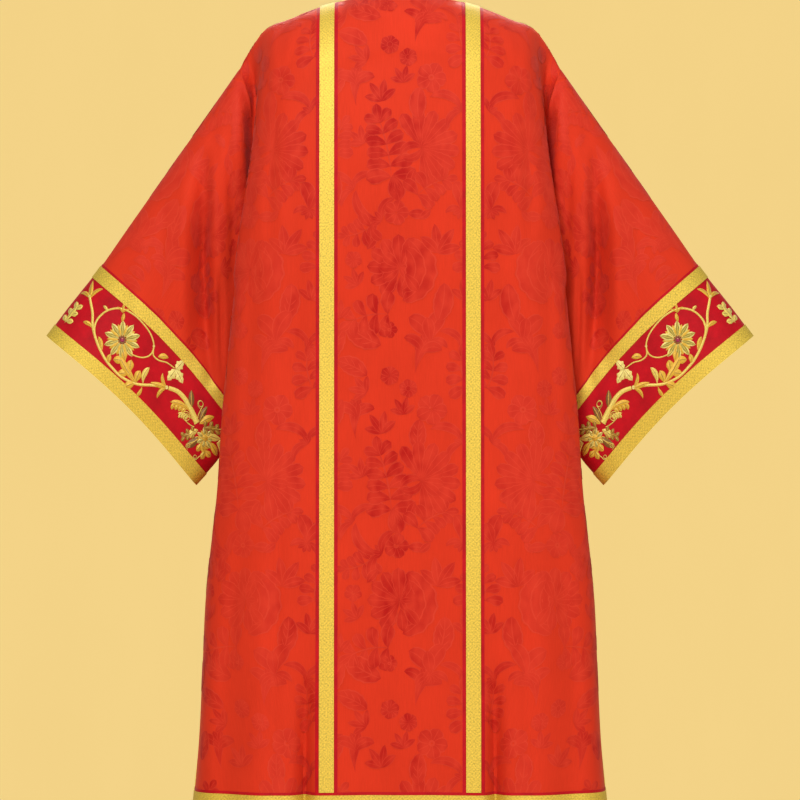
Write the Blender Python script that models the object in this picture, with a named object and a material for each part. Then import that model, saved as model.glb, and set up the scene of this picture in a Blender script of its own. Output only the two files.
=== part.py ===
"""A worn dalmatic: two panels, two wide sleeves, and the galloons and bands sewn on them.

The back faces -Y and the wearer's front +Y, +Z is up, and the origin lies between the
shoulders, where the wearer carries the cloth. Lengths are in metres.

The draped cloth is worked out once as grids of points: a grid runs down each panel and
along each sleeve, and neighbours share the points of their seams. Each piece is then a wall
on its own part of a grid, and what is sewn on a piece is a wall on the same points, moved out.
"""

from collections import namedtuple
import math

import bpy
import numpy as np

# Cloth, trims and seams
CLOTH = 0.0020
GROUND = 0.0010
GALLOON = 0.0012
SEAM_GAP = 0.0003
LAY_GAP = 0.0003

# Neck opening
NECK_HALF = 0.098
NECK_BACK_DEPTH = 0.068
NECK_FRONT_DEPTH = 0.098
NECK_POINT_Z = 0.009
NECK_BACK_Z = 0.0095
NECK_FRONT_Z = -0.055

# The clavi run straight down at this distance from the middle, gold on a wider ground
CLAVUS_MIDDLE = 0.115
GALLOON_WIDTH = 0.023
GROUND_MARGIN = 0.0055

# Lengths from the hem up, and along the sleeve from its cuff up
HEM_Z = -1.270
HEM_GALLOON = 0.024
HEM_GROUND = 0.0285
VENT = 0.100
VENT_GAP = 0.010
VENT_ROWS = 2
SLEEVE_LENGTH = 0.527
CUFF_GALLOON = 0.023
CUFF_BAND = 0.120
CUFF_UPPER = 0.143
CUFF_GROUND = 0.147
CUFF_BOW = 0.009

# Points along a panel's half from its middle line to its side edge
CENTRE_STEPS = 3
CLAVUS_STEPS = 3
SIDE_PLACES = (0.05, 0.11, 0.20, 0.31, 0.43, 0.55, 0.67, 0.79, 0.88, 0.944, 1.0)

# The shoulder seam, from the neck out: its height and how far down the shoulder rolls over
Shoulder = namedtuple("Shoulder", "x z roll")
SHOULDER = (
    Shoulder(x=0.098, z=0.009, roll=0.125),
    Shoulder(x=0.132, z=-0.001, roll=0.130),
    Shoulder(x=0.180, z=-0.020, roll=0.126),
    Shoulder(x=0.218, z=-0.038, roll=0.115),
    Shoulder(x=0.240, z=-0.069, roll=0.085),
    Shoulder(x=0.256, z=-0.098, roll=0.050),
)
ROLL_STEPS = 5

# The body from above at each height: half its width, and its depth behind and in front
Section = namedtuple("Section", "z half back front")
SECTIONS = (
    Section(z=-0.090, half=0.2230, back=0.110, front=0.122),
    Section(z=-0.140, half=0.2255, back=0.118, front=0.130),
    Section(z=-0.207, half=0.2320, back=0.126, front=0.141),
    Section(z=-0.300, half=0.2460, back=0.131, front=0.152),
    Section(z=-0.405, half=0.2600, back=0.132, front=0.156),
    Section(z=-0.548, half=0.2726, back=0.132, front=0.156),
    Section(z=-0.700, half=0.2855, back=0.137, front=0.157),
    Section(z=-0.877, half=0.3027, back=0.145, front=0.160),
    Section(z=-1.000, half=0.3095, back=0.150, front=0.164),
    Section(z=-1.140, half=0.3150, back=0.156, front=0.169),
    Section(z=-1.270, half=0.3235, back=0.163, front=0.175),
)

# The body's outline from above, in shares of its half width and its depth. Over its first
# spans the outline only runs outwards.
Corner = namedtuple("Corner", "across deep")
CORNERS = (
    Corner(across=-0.450, deep=0.980),
    Corner(across=0.000, deep=1.000),
    Corner(across=0.450, deep=0.980),
    Corner(across=0.790, deep=0.875),
    Corner(across=0.945, deep=0.680),
    Corner(across=1.000, deep=0.470),
)
SPAN_STEPS = 8
OUTWARD_SPANS = 3

# The armhole edge, and the hollow of the cloth between it and the body's corner
Armhole = namedtuple("Armhole", "z hollow_x hollow_y seam_x seam_y")
ARMHOLE = (
    Armhole(z=-0.148, hollow_x=0.2330, hollow_y=0.047, seam_x=0.2430, seam_y=0.038),
    Armhole(z=-0.190, hollow_x=0.2295, hollow_y=0.048, seam_x=0.2335, seam_y=0.030),
    Armhole(z=-0.240, hollow_x=0.2290, hollow_y=0.050, seam_x=0.2290, seam_y=0.027),
    Armhole(z=-0.300, hollow_x=0.2300, hollow_y=0.052, seam_x=0.2265, seam_y=0.028),
    Armhole(z=-0.360, hollow_x=0.2300, hollow_y=0.050, seam_x=0.2240, seam_y=0.028),
    Armhole(z=-0.410, hollow_x=0.2290, hollow_y=0.047, seam_x=0.2215, seam_y=0.023),
    Armhole(z=-0.432, hollow_x=0.2280, hollow_y=0.042, seam_x=0.2195, seam_y=0.013),
    Armhole(z=-0.440, hollow_x=0.2270, hollow_y=0.040, seam_x=0.2190, seam_y=0.000),
)
ARMHOLE_ROWS = (-0.190, -0.235, -0.280, -0.325, -0.370, -0.408, -0.432, -0.440)

# The side seam under the arm, drawn in where the sleeve hangs against the body
Side = namedtuple("Side", "z hollow_x hollow_y seam_x")
SIDE = (
    Side(z=-0.440, hollow_x=0.227, hollow_y=0.040, seam_x=0.219),
    Side(z=-0.520, hollow_x=0.233, hollow_y=0.042, seam_x=0.224),
    Side(z=-0.600, hollow_x=0.243, hollow_y=0.043, seam_x=0.234),
    Side(z=-0.680, hollow_x=0.256, hollow_y=0.044, seam_x=0.248),
    Side(z=-0.750, hollow_x=0.275, hollow_y=0.046, seam_x=0.269),
    Side(z=-0.820, hollow_x=0.292, hollow_y=0.048, seam_x=0.289),
    Side(z=-0.920, hollow_x=0.3055, hollow_y=0.050, seam_x=0.3050),
    Side(z=-1.140, hollow_x=0.3160, hollow_y=0.050, seam_x=0.3165),
    Side(z=-1.270, hollow_x=0.3265, hollow_y=0.052, seam_x=0.3290),
)
SIDE_ROWS = (-0.490, -0.550, -0.615, -0.680, -0.750, -0.825, -0.930, -1.050)

# The largest folds of a panel: they start at a height and deepen towards the hem
Fold = namedtuple("Fold", "x_top x_hem z_top depth width")
BACK_FOLDS = (
    Fold(x_top=0.146, x_hem=0.152, z_top=-0.960, depth=-0.012, width=0.014),
    Fold(x_top=0.190, x_hem=0.212, z_top=-0.500, depth=0.007, width=0.034),
    Fold(x_top=0.228, x_hem=0.268, z_top=-0.600, depth=-0.009, width=0.026),
    Fold(x_top=0.030, x_hem=0.046, z_top=-0.520, depth=-0.004, width=0.030),
)
FRONT_FOLDS = (
    Fold(x_top=0.150, x_hem=0.158, z_top=-0.420, depth=-0.011, width=0.022),
    Fold(x_top=0.196, x_hem=0.222, z_top=-0.400, depth=0.009, width=0.032),
    Fold(x_top=0.040, x_hem=0.052, z_top=-0.450, depth=-0.006, width=0.030),
)

# The sleeve along its upper edge: that edge, the edge under the arm, and its depth
Sleeve = namedtuple("Sleeve", "along top_x top_z under_x under_z back front middle_y")
SLEEVE = (
    Sleeve(0.000, top_x=0.256, top_z=-0.098, under_x=0.219, under_z=-0.440,
           back=0.046, front=0.048, middle_y=0.000),
    Sleeve(0.030, top_x=0.2734, top_z=-0.1226, under_x=0.233, under_z=-0.444,
           back=0.048, front=0.050, middle_y=0.001),
    Sleeve(0.100, top_x=0.314, top_z=-0.180, under_x=0.250, under_z=-0.468,
           back=0.050, front=0.052, middle_y=0.003),
    Sleeve(0.220, top_x=0.383, top_z=-0.278, under_x=0.257, under_z=-0.520,
           back=0.051, front=0.055, middle_y=0.007),
    Sleeve(0.320, top_x=0.441, top_z=-0.360, under_x=0.263, under_z=-0.585,
           back=0.052, front=0.056, middle_y=0.010),
    Sleeve(0.384, top_x=0.478, top_z=-0.413, under_x=0.268, under_z=-0.640,
           back=0.052, front=0.056, middle_y=0.012),
    Sleeve(0.470, top_x=0.531, top_z=-0.480, under_x=0.289, under_z=-0.716,
           back=0.052, front=0.056, middle_y=0.014),
    Sleeve(0.527, top_x=0.565, top_z=-0.525, under_x=0.328, under_z=-0.762,
           back=0.052, front=0.056, middle_y=0.015),
)
SLEEVE_ROWS = (0.016, 0.042, 0.085, 0.140, 0.200, 0.265, 0.325)
BAND_STEPS = 3
DRAW_IN = 0.100

# Across the sleeve: it is fullest over the arm, thins as it hangs, and closes in a tight turn
FULLEST_AT = 0.30
HANG_THINNER = 0.45
HANG_OVER = 0.60
TURN_POWER = 6

# Upright folds in the sleeve's hanging cloth, at a distance from the middle of the body
TROUGH_ENDS = 0.10
Trough = namedtuple("Trough", "x z_top z_low depth width")
TROUGHS = (
    Trough(x=0.322, z_top=-0.300, z_low=-0.600, depth=0.016, width=0.014),
    Trough(x=0.284, z_top=-0.200, z_low=-0.640, depth=-0.006, width=0.014),
)

# Finishes: colour, roughness and metallic value
DAMASK = ("damask", (0.73, 0.045, 0.022), 0.48, 0.0)
CRIMSON = ("crimson ground", (0.42, 0.008, 0.018), 0.62, 0.0)
GOLD = ("gold galloon", (0.86, 0.60, 0.13), 0.38, 0.55)


def smooth(rows, key, column, at):
    """A column of a table at a place between its rows, on a smooth curve through them."""
    places = np.array([getattr(row, key) for row in rows])
    values = np.array([getattr(row, column) for row in rows])
    if places[0] > places[-1]:
        places = places[::-1]
        values = values[::-1]
    slopes = np.gradient(values, places)
    at = min(max(at, places[0]), places[-1])
    i = min(int(np.searchsorted(places, at, side="right")) - 1, len(places) - 2)
    step = places[i + 1] - places[i]
    t = (at - places[i]) / step
    rise = t * t * (3 - 2 * t)
    start = t * (1 - t) * (1 - t) * slopes[i] * step
    end = t * t * (t - 1) * slopes[i + 1] * step
    return float(values[i] * (1 - rise) + values[i + 1] * rise + start + end)


def ease(t):
    """A soft step from 0 to 1."""
    t = min(max(t, 0.0), 1.0)
    return t * t * (3 - 2 * t)


def through(stations):
    """Points on a rounded line through stations, whose first and last only steer it."""
    stations = [np.array(s, float) for s in stations]
    points = [stations[1]]
    for a, b, c, d in zip(stations, stations[1:], stations[2:], stations[3:]):
        for k in range(1, SPAN_STEPS + 1):
            t = k / SPAN_STEPS
            into = (c - a) / 2
            out = (d - b) / 2
            near = b * (1 - ease(t)) + c * ease(t)
            points.append(near + into * t * (1 - t) ** 2 + out * t * t * (t - 1))
    return np.array(points)


def body_half(z, side):
    """The right half of a panel from above, from its middle line to its edge; side is -1 behind."""
    half = smooth(SECTIONS, "z", "half", z)
    depth = smooth(SECTIONS, "z", "back" if side < 0 else "front", z) * side
    line = [(corner.across * half, corner.deep * depth) for corner in CORNERS]
    rows = ARMHOLE if z > ARMHOLE[-1].z else SIDE
    hollow = (smooth(rows, "z", "hollow_x", z), smooth(rows, "z", "hollow_y", z) * side)
    if rows is SIDE:
        seam = (smooth(SIDE, "z", "seam_x", z), 0)
        beyond = (hollow[0], -hollow[1])
    else:
        seam = (smooth(ARMHOLE, "z", "seam_x", z), smooth(ARMHOLE, "z", "seam_y", z) * side)
        beyond = (2 * seam[0] - hollow[0], 2 * seam[1] - hollow[1])
    return through(line + [hollow, seam, beyond])


def vent_open(z):
    """How far the vent at the side stands open at a height, as a share of its width."""
    return ease((HEM_Z + VENT - z) / VENT)


def panel_columns():
    """The middle and clavus columns' distances from the middle, then the outer columns' shares."""
    ground = (CLAVUS_MIDDLE - GALLOON_WIDTH / 2 - GROUND_MARGIN,
              CLAVUS_MIDDLE - GALLOON_WIDTH / 2,
              CLAVUS_MIDDLE + GALLOON_WIDTH / 2,
              CLAVUS_MIDDLE + GALLOON_WIDTH / 2 + GROUND_MARGIN)
    inner = [ground[0] * math.sin(math.pi / 2 * k / CENTRE_STEPS) for k in range(CENTRE_STEPS)]
    return inner + list(ground), list(SIDE_PLACES)


def on_section(z, side, column):
    """The point of a panel's column at a height, on the section there."""
    line = body_half(z, side)
    outward = slice(0, OUTWARD_SPANS * SPAN_STEPS)
    fixed, shares = panel_columns()
    if column < len(fixed):
        y = np.interp(fixed[column], line[outward, 0], line[outward, 1])
        return np.array([fixed[column], y])
    steps = np.hypot(*np.diff(line, axis=0).T)
    lengths = np.concatenate([[0], np.cumsum(steps)])
    from_length = np.interp(fixed[-1], line[outward, 0], lengths[outward])
    at = from_length + (lengths[-1] - from_length) * shares[column - len(fixed)]
    return np.array([np.interp(at, lengths, line[:, 0]), np.interp(at, lengths, line[:, 1])])


def shoulder_top(side, column):
    """The top of a column: its x, the height of the ridge there, its roll and its first angle."""
    fixed, shares = panel_columns()
    if column >= len(fixed):
        x = fixed[-1] + (SHOULDER[-1].x - fixed[-1]) * shares[column - len(fixed)]
    else:
        x = fixed[column]
    roll = smooth(SHOULDER, "x", "roll", x)
    if x >= NECK_HALF - 1e-6:
        return x, smooth(SHOULDER, "x", "z", x), roll, 0.0
    round_off = math.sqrt(1 - (x / NECK_HALF) ** 2)
    deep = NECK_BACK_DEPTH if side < 0 else NECK_FRONT_DEPTH
    middle_z = NECK_BACK_Z if side < 0 else NECK_FRONT_Z
    z = NECK_POINT_Z + (middle_z - NECK_POINT_Z) * round_off
    depth = smooth(SECTIONS, "z", "back" if side < 0 else "front", SECTIONS[1].z)
    angle = math.asin(min(deep * round_off / depth, 0.95))
    return x, z + roll * (1 - math.cos(angle)), roll, angle


def fold_depth(folds, x, z):
    """How far the folds move a panel's point out, at a distance from the middle and a height."""
    total = 0.0
    for fold in folds:
        grown = ease((fold.z_top - z) / (fold.z_top - HEM_Z))
        middle = fold.x_top + (fold.x_hem - fold.x_top) * grown
        total += fold.depth * grown * math.exp(-((x - middle) / fold.width) ** 2)
    return total


def edge_rows():
    """Heights of the rows below the shoulder's roll, where they meet the side edge."""
    vent = [VENT + (HEM_GROUND - VENT) * k / VENT_ROWS for k in range(VENT_ROWS)]
    low = vent + [HEM_GROUND, HEM_GALLOON, 0]
    return list(ARMHOLE_ROWS + SIDE_ROWS) + [HEM_Z + height for height in low]


def half_panel(side):
    """Points of the right half of a panel, a row for each height and a column for each place."""
    folds = BACK_FOLDS if side < 0 else FRONT_FOLDS
    rows = edge_rows()
    count = len(panel_columns()[0]) + len(SIDE_PLACES)
    edge_yoke = SHOULDER[-1].z - SHOULDER[-1].roll
    grid = np.zeros((ROLL_STEPS + 1 + len(rows), count, 3))
    for column in range(count):
        x_top, ridge, roll, angle = shoulder_top(side, column)
        yoke_z = ridge - roll
        yoke_x, yoke_y = on_section(yoke_z, side, column)
        for step in range(ROLL_STEPS + 1):
            turn = angle + (math.pi / 2 - angle) * step / ROLL_STEPS
            down = 1 - math.cos(turn)
            grid[step, column] = (x_top + (yoke_x - x_top) * down, yoke_y * math.sin(turn),
                                  ridge - roll * down)
        for step, edge_z in enumerate(rows):
            share = (edge_yoke - edge_z) / (edge_yoke - HEM_Z)
            z = yoke_z + (HEM_Z - yoke_z) * share
            x, y = on_section(z, side, column)
            if column < count - 1:
                y += side * fold_depth(folds, x, z)
            else:
                y += side * VENT_GAP / 2 * vent_open(z)
            grid[ROLL_STEPS + 1 + step, column] = (x, y, z)
    return grid


def mirrored(grid):
    """The same points on the other side of the body."""
    return grid * np.array([-1, 1, 1])


def whole_panel(side):
    """A whole panel's points, its columns in the order that turns its faces outwards."""
    right = half_panel(side)
    left = mirrored(right)
    if side < 0:
        return np.concatenate([right[:, ::-1], left[:, 1:]], axis=1)
    return np.concatenate([left[:, ::-1], right[:, 1:]], axis=1)


def sleeve_profile(share):
    """How full the sleeve is between its upper edge, at 0, and the edge under the arm, at 1."""
    if share < FULLEST_AT:
        return math.sqrt(max(0.0, 1 - (1 - share / FULLEST_AT) ** 2))
    hang = 1 - HANG_THINNER * ease((share - FULLEST_AT) / HANG_OVER)
    return hang * math.sqrt(max(0.0, 1 - ((share - FULLEST_AT) / (1 - FULLEST_AT)) ** TURN_POWER))


def trough_depth(x, z):
    """How far the hanging folds press the sleeve's walls in."""
    total = 0.0
    for trough in TROUGHS:
        long = ease((trough.z_top - z) / TROUGH_ENDS) * ease((z - trough.z_low) / TROUGH_ENDS)
        total += trough.depth * long * math.exp(-((x - trough.x) / trough.width) ** 2)
    return total


def sleeve_places():
    """Distances of the sleeve's rows from the armhole."""
    low = SLEEVE_LENGTH - CUFF_BAND
    high = SLEEVE_LENGTH - CUFF_GALLOON
    band = [low + (high - low) * k / BAND_STEPS for k in range(BAND_STEPS + 1)]
    bands = [SLEEVE_LENGTH - CUFF_GROUND, SLEEVE_LENGTH - CUFF_UPPER] + band
    return [0.0] + list(SLEEVE_ROWS) + bands + [SLEEVE_LENGTH]


def right_sleeve(back, front):
    """Points of the right sleeve: its first row is the armhole edge of both panels."""
    last = ROLL_STEPS + len(ARMHOLE_ROWS)
    armhole = np.concatenate([back[: last + 1, 0], front[1:last, -1][::-1]])
    top_z = armhole[0, 2]
    under_z = armhole[last, 2]
    shares = (top_z - armhole[:, 2]) / (top_z - under_z)
    rows = []
    for along in sleeve_places():
        size = {c: smooth(SLEEVE, "along", c, along) for c in Sleeve._fields[1:]}
        bow = CUFF_BOW * ease(along / (SLEEVE_LENGTH - CUFF_GROUND))
        row = []
        for k, share in enumerate(shares):
            side = -1 if k <= last else 1
            depth = size["back"] if side < 0 else size["front"]
            lift = bow * math.sin(math.pi * share)
            x = size["top_x"] + (size["under_x"] - size["top_x"]) * share - lift
            z = size["top_z"] + (size["under_z"] - size["top_z"]) * share + lift
            grown = ease(along / DRAW_IN)
            y = size["middle_y"] + side * sleeve_profile(share) * depth
            y -= side * trough_depth(x, z) * grown * math.sin(math.pi * share) ** 0.5
            row.append((x, y, z))
        rows.append(np.array(row))
    offset = armhole - rows[0]
    for along, row in zip(sleeve_places(), rows):
        row += offset * (max(0.0, 1 - along / DRAW_IN) ** 2, 1 - ease(along / DRAW_IN), 0)
    return np.array(rows)


def grid_faces(rows, columns, closed, start=0):
    """Corner numbers of a grid's faces, turned outwards."""
    faces = []
    across = columns if closed else columns - 1
    for i in range(rows - 1):
        for j in range(across):
            k = (j + 1) % columns
            faces.append([start + i * columns + j, start + i * columns + k,
                          start + (i + 1) * columns + k, start + (i + 1) * columns + j])
    return faces


def shared_normals(grids):
    """An outward direction for each point, the same for both pieces of a seam.

    At a crease it is lengthened, so that walls that meet there keep their thickness.
    """
    points = np.concatenate([grid.reshape(-1, 3) for grid, closed in grids])
    faces = []
    start = 0
    for grid, closed in grids:
        faces += grid_faces(grid.shape[0], grid.shape[1], closed, start)
        start += grid.shape[0] * grid.shape[1]
    _, owner = np.unique(np.round(points * 1e5).astype(int), axis=0, return_inverse=True)
    owner = owner.reshape(-1)
    total = np.zeros((owner.max() + 1, 3))
    around = [[] for _ in range(owner.max() + 1)]
    for face in faces:
        a, b, c, d = points[face]
        normal = np.cross(c - a, d - b)
        size = np.linalg.norm(normal)
        if size < 1e-12:
            continue
        for corner in face:
            total[owner[corner]] += normal / size
            around[owner[corner]].append(normal / size)
    unit = total / np.linalg.norm(total, axis=1, keepdims=True)
    for k, normals in enumerate(around):
        least = min(float(n @ unit[k]) for n in normals)
        unit[k] /= max(least, 0.5)
    result = []
    start = 0
    for grid, closed in grids:
        size = grid.shape[0] * grid.shape[1]
        result.append(unit[owner[start:start + size]].reshape(grid.shape))
        start += size
    return result


def off_the_seam(edge, inner, out, closed):
    """The move that draws an edge back from its seam, square to the seam and to the wall."""
    if closed:
        run = np.roll(edge, -1, axis=0) - np.roll(edge, 1, axis=0)
    else:
        run = np.gradient(edge, axis=0)
    across = np.cross(run, out)
    across /= np.linalg.norm(across, axis=1, keepdims=True)
    turn = np.sign(np.sum(across * (inner - edge), axis=1, keepdims=True))
    return across * turn * SEAM_GAP / 2


def drawn_back(grid, out, closed):
    """A grid whose open edges are drawn back by half a seam's gap."""
    moved = grid.copy()
    for edge, inner in ((0, 1), (-1, -2)):
        moved[edge] += off_the_seam(grid[edge], grid[inner], out[edge], closed)
        if not closed:
            moved[:, edge] += off_the_seam(grid[:, edge], grid[:, inner], out[:, edge], False)
    return moved


def wall(name, grid, out, low, high, closed, finish, home):
    """A closed wall between two distances from a grid's points, as an object of its own."""
    rows, columns = grid.shape[:2]
    middle = drawn_back(grid, out, closed)
    count = rows * columns
    outer = grid_faces(rows, columns, closed)
    inner = [[a + count, d + count, c + count, b + count] for a, b, c, d in outer]
    faces = outer + inner
    across = columns if closed else columns - 1
    for j in range(across):
        k = (j + 1) % columns
        last = (rows - 1) * columns
        faces.append([j, j + count, k + count, k])
        faces.append([last + j, last + k, last + k + count, last + j + count])
    if not closed:
        for i in range(rows - 1):
            a = i * columns
            b = a + columns
            faces.append([a, b, b + count, a + count])
            a += columns - 1
            b += columns - 1
            faces.append([b, a, a + count, b + count])
    points = np.concatenate([(middle + out * high).reshape(-1, 3), (middle + out * low).reshape(-1, 3)])
    mesh = bpy.data.meshes.new(name)
    mesh.from_pydata([tuple(p) for p in points], [], faces)
    mesh.shade_smooth()
    mesh.materials.append(finish)
    piece = bpy.data.objects.new(name, mesh)
    split = piece.modifiers.new("even split", "TRIANGULATE")
    split.quad_method = "FIXED"
    home.objects.link(piece)
    return piece


def finish_of(name, colour, roughness, metallic):
    """A plain finish with the cloth's colour."""
    finish = bpy.data.materials.new(name)
    finish.use_nodes = True
    shader = finish.node_tree.nodes["Principled BSDF"]
    shader.inputs["Base Color"].default_value = (*colour, 1.0)
    shader.inputs["Roughness"].default_value = roughness
    shader.inputs["Metallic"].default_value = metallic
    return finish


def own_finish(base, name):
    """The same finish, kept for one piece."""
    finish = base.copy()
    finish.name = f"{base.name} {name}"
    return finish


def panel_trims(face, grid, out, crimson, gold, home):
    """The clavi and the hem's galloon of one panel, with their grounds, and its vents' galloons."""
    middle = grid.shape[1] // 2
    base = CLOTH / 2 + LAY_GAP
    over = base + GROUND + LAY_GAP
    ground_row = grid.shape[0] - 3
    sides = (("right", -1), ("left", 1)) if face == "back" else (("left", -1), ("right", 1))
    for hand, sign in sides:
        low, high = sorted((middle + sign * CENTRE_STEPS,
                            middle + sign * (CENTRE_STEPS + CLAVUS_STEPS)))
        name = f"clavus_ground_{face}_{hand}"
        wall(name, grid[: ground_row + 1, low:high + 1], out[: ground_row + 1, low:high + 1],
             base, base + GROUND, False, own_finish(crimson, name), home)
        edge = slice(0, 2) if low < middle else slice(-2, None)
        vent = slice(ground_row - VENT_ROWS, ground_row + 1)
        name = f"vent_galloon_{face}_{hand}"
        wall(name, grid[vent, edge], out[vent, edge], base, base + GALLOON, False,
             own_finish(gold, name), home)
        name = f"clavus_{face}_{hand}"
        wall(name, grid[: ground_row + 1, low + 1:high], out[: ground_row + 1, low + 1:high],
             over, over + GALLOON, False, own_finish(gold, name), home)
    name = f"hem_ground_{face}"
    wall(name, grid[ground_row:], out[ground_row:], base, base + GROUND, False,
         own_finish(crimson, name), home)
    name = f"hem_galloon_{face}"
    wall(name, grid[ground_row + 1:], out[ground_row + 1:], over, over + GALLOON, False,
         own_finish(gold, name), home)


def cuff_trims(hand, grid, out, crimson, gold, home):
    """The band of a sleeve and the galloons on its two edges."""
    base = CLOTH / 2 + LAY_GAP
    over = base + GROUND + LAY_GAP
    first = 1 + len(SLEEVE_ROWS)
    name = f"cuff_band_{hand}"
    wall(name, grid[first:], out[first:], base, base + GROUND, True, own_finish(crimson, name), home)
    name = f"cuff_galloon_upper_{hand}"
    wall(name, grid[first + 1:first + 3], out[first + 1:first + 3], over, over + GALLOON, True,
         own_finish(gold, name), home)
    name = f"cuff_galloon_edge_{hand}"
    wall(name, grid[-2:], out[-2:], over, over + GALLOON, True, own_finish(gold, name), home)


def clear_scene():
    """Empties the scene."""
    for thing in list(bpy.data.objects):
        bpy.data.objects.remove(thing, do_unlink=True)


def main():
    clear_scene()
    home = bpy.data.collections.new("dalmatic")
    bpy.context.scene.collection.children.link(home)
    damask = finish_of(*DAMASK)
    crimson = finish_of(*CRIMSON)
    gold = finish_of(*GOLD)
    back = whole_panel(-1)
    front = whole_panel(1)
    right = right_sleeve(back, front)
    left = mirrored(right)[:, ::-1]
    grids = [(back, False), (front, False), (right, True), (left, True)]
    outs = shared_normals(grids)
    names = ("back_panel", "front_panel", "sleeve_right", "sleeve_left")
    for name, (grid, closed), out in zip(names, grids, outs):
        wall(name, grid, out, -CLOTH / 2, CLOTH / 2, closed, own_finish(damask, name), home)
    panel_trims("back", back, outs[0], crimson, gold, home)
    panel_trims("front", front, outs[1], crimson, gold, home)
    cuff_trims("right", right, outs[2], crimson, gold, home)
    cuff_trims("left", left, outs[3], crimson, gold, home)


main()
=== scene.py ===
"""A worn dalmatic of red damask: its drape, damask figure, galloons and embroidered cuffs.

The back faces -Y, and +Z is up. The cloth's form is the same as the solids', worked out from
the same sizes on a finer grid, with the softer creases added. What lies on the cloth is drawn
in the cloth's own lengths, across and along it, and is laid on the grid.
"""
from collections import namedtuple
import math

import bpy
import numpy as np
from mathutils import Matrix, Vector


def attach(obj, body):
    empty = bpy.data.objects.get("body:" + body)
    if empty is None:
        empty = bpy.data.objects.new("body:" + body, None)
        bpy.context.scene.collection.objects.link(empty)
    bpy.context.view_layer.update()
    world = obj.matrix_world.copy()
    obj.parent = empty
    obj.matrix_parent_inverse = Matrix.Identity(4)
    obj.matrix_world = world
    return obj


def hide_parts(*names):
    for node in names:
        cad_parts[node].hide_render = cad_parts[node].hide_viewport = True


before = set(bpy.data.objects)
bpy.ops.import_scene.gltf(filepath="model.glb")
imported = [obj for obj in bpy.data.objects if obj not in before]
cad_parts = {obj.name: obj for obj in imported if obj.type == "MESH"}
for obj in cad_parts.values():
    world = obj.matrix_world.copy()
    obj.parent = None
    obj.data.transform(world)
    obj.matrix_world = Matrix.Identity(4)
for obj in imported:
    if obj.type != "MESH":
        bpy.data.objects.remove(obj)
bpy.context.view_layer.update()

bl_info = {
    "name": "Dalmatic",
    "version": (1, 0, 0),
    "blender": (4, 5, 0),
    "location": "View3D > Sidebar > Dalmatic",
    "description": "Makes a worn dalmatic of red damask with gold galloons and embroidered cuffs",
    "category": "Object",
}


def rows_of(kind, rows):
    """A table's rows under the names of their columns."""
    return tuple(kind(*row) for row in rows)


# Walls of cloth and trims, about the middle of the solids' walls
CLOTH = 0.0010
LAY_GAP = 0.0002
GROUND = 0.0006
GALLOON = 0.0009
FIGURE_LIFT = 0.00022

# Neck opening
NECK_HALF = 0.098
NECK_BACK_DEPTH = 0.068
NECK_FRONT_DEPTH = 0.098
NECK_POINT_Z = 0.009
NECK_BACK_Z = 0.0095
NECK_FRONT_Z = -0.055

# The clavi run straight down at this distance from the middle, gold on a wider ground
CLAVUS_MIDDLE = 0.115
GALLOON_WIDTH = 0.023
GROUND_MARGIN = 0.0055

# Lengths from the hem up, and along the sleeve from its cuff up
HEM_Z = -1.270
HEM_GALLOON = 0.024
HEM_GROUND = 0.0285
VENT = 0.100
VENT_GAP = 0.010
VENT_ROWS = 2
SLEEVE_LENGTH = 0.527
CUFF_GALLOON = 0.023
CUFF_BAND = 0.120
CUFF_UPPER = 0.143
CUFF_GROUND = 0.147
CUFF_BOW = 0.009

# Points along a panel's half from its middle line to its side edge
CENTRE_STEPS = 3
SIDE_PLACES = (0.05, 0.11, 0.20, 0.31, 0.43, 0.55, 0.67, 0.79, 0.88, 0.944, 1.0)

# The shoulder seam, from the neck out: its height and how far down the shoulder rolls over
Shoulder = namedtuple("Shoulder", "x z roll")
SHOULDER = rows_of(Shoulder, (
    (0.098, 0.009, 0.125),
    (0.132, -0.001, 0.130),
    (0.180, -0.020, 0.126),
    (0.218, -0.038, 0.115),
    (0.240, -0.069, 0.085),
    (0.256, -0.098, 0.050),
))
ROLL_STEPS = 5

# The body from above at each height: half its width, and its depth behind and in front
Section = namedtuple("Section", "z half back front")
SECTIONS = rows_of(Section, (
    (-0.090, 0.2230, 0.110, 0.122),
    (-0.140, 0.2255, 0.118, 0.130),
    (-0.207, 0.2320, 0.126, 0.141),
    (-0.300, 0.2460, 0.131, 0.152),
    (-0.405, 0.2600, 0.132, 0.156),
    (-0.548, 0.2726, 0.132, 0.156),
    (-0.700, 0.2855, 0.137, 0.157),
    (-0.877, 0.3027, 0.145, 0.160),
    (-1.000, 0.3095, 0.150, 0.164),
    (-1.140, 0.3150, 0.156, 0.169),
    (-1.270, 0.3235, 0.163, 0.175),
))

# The body's outline from above, in shares of its half width and its depth. Over its first
# spans the outline only runs outwards.
Corner = namedtuple("Corner", "across deep")
CORNERS = rows_of(Corner, (
    (-0.450, 0.980),
    (0.000, 1.000),
    (0.450, 0.980),
    (0.790, 0.875),
    (0.945, 0.680),
    (1.000, 0.470),
))
SPAN_STEPS = 8
OUTWARD_SPANS = 3

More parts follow.
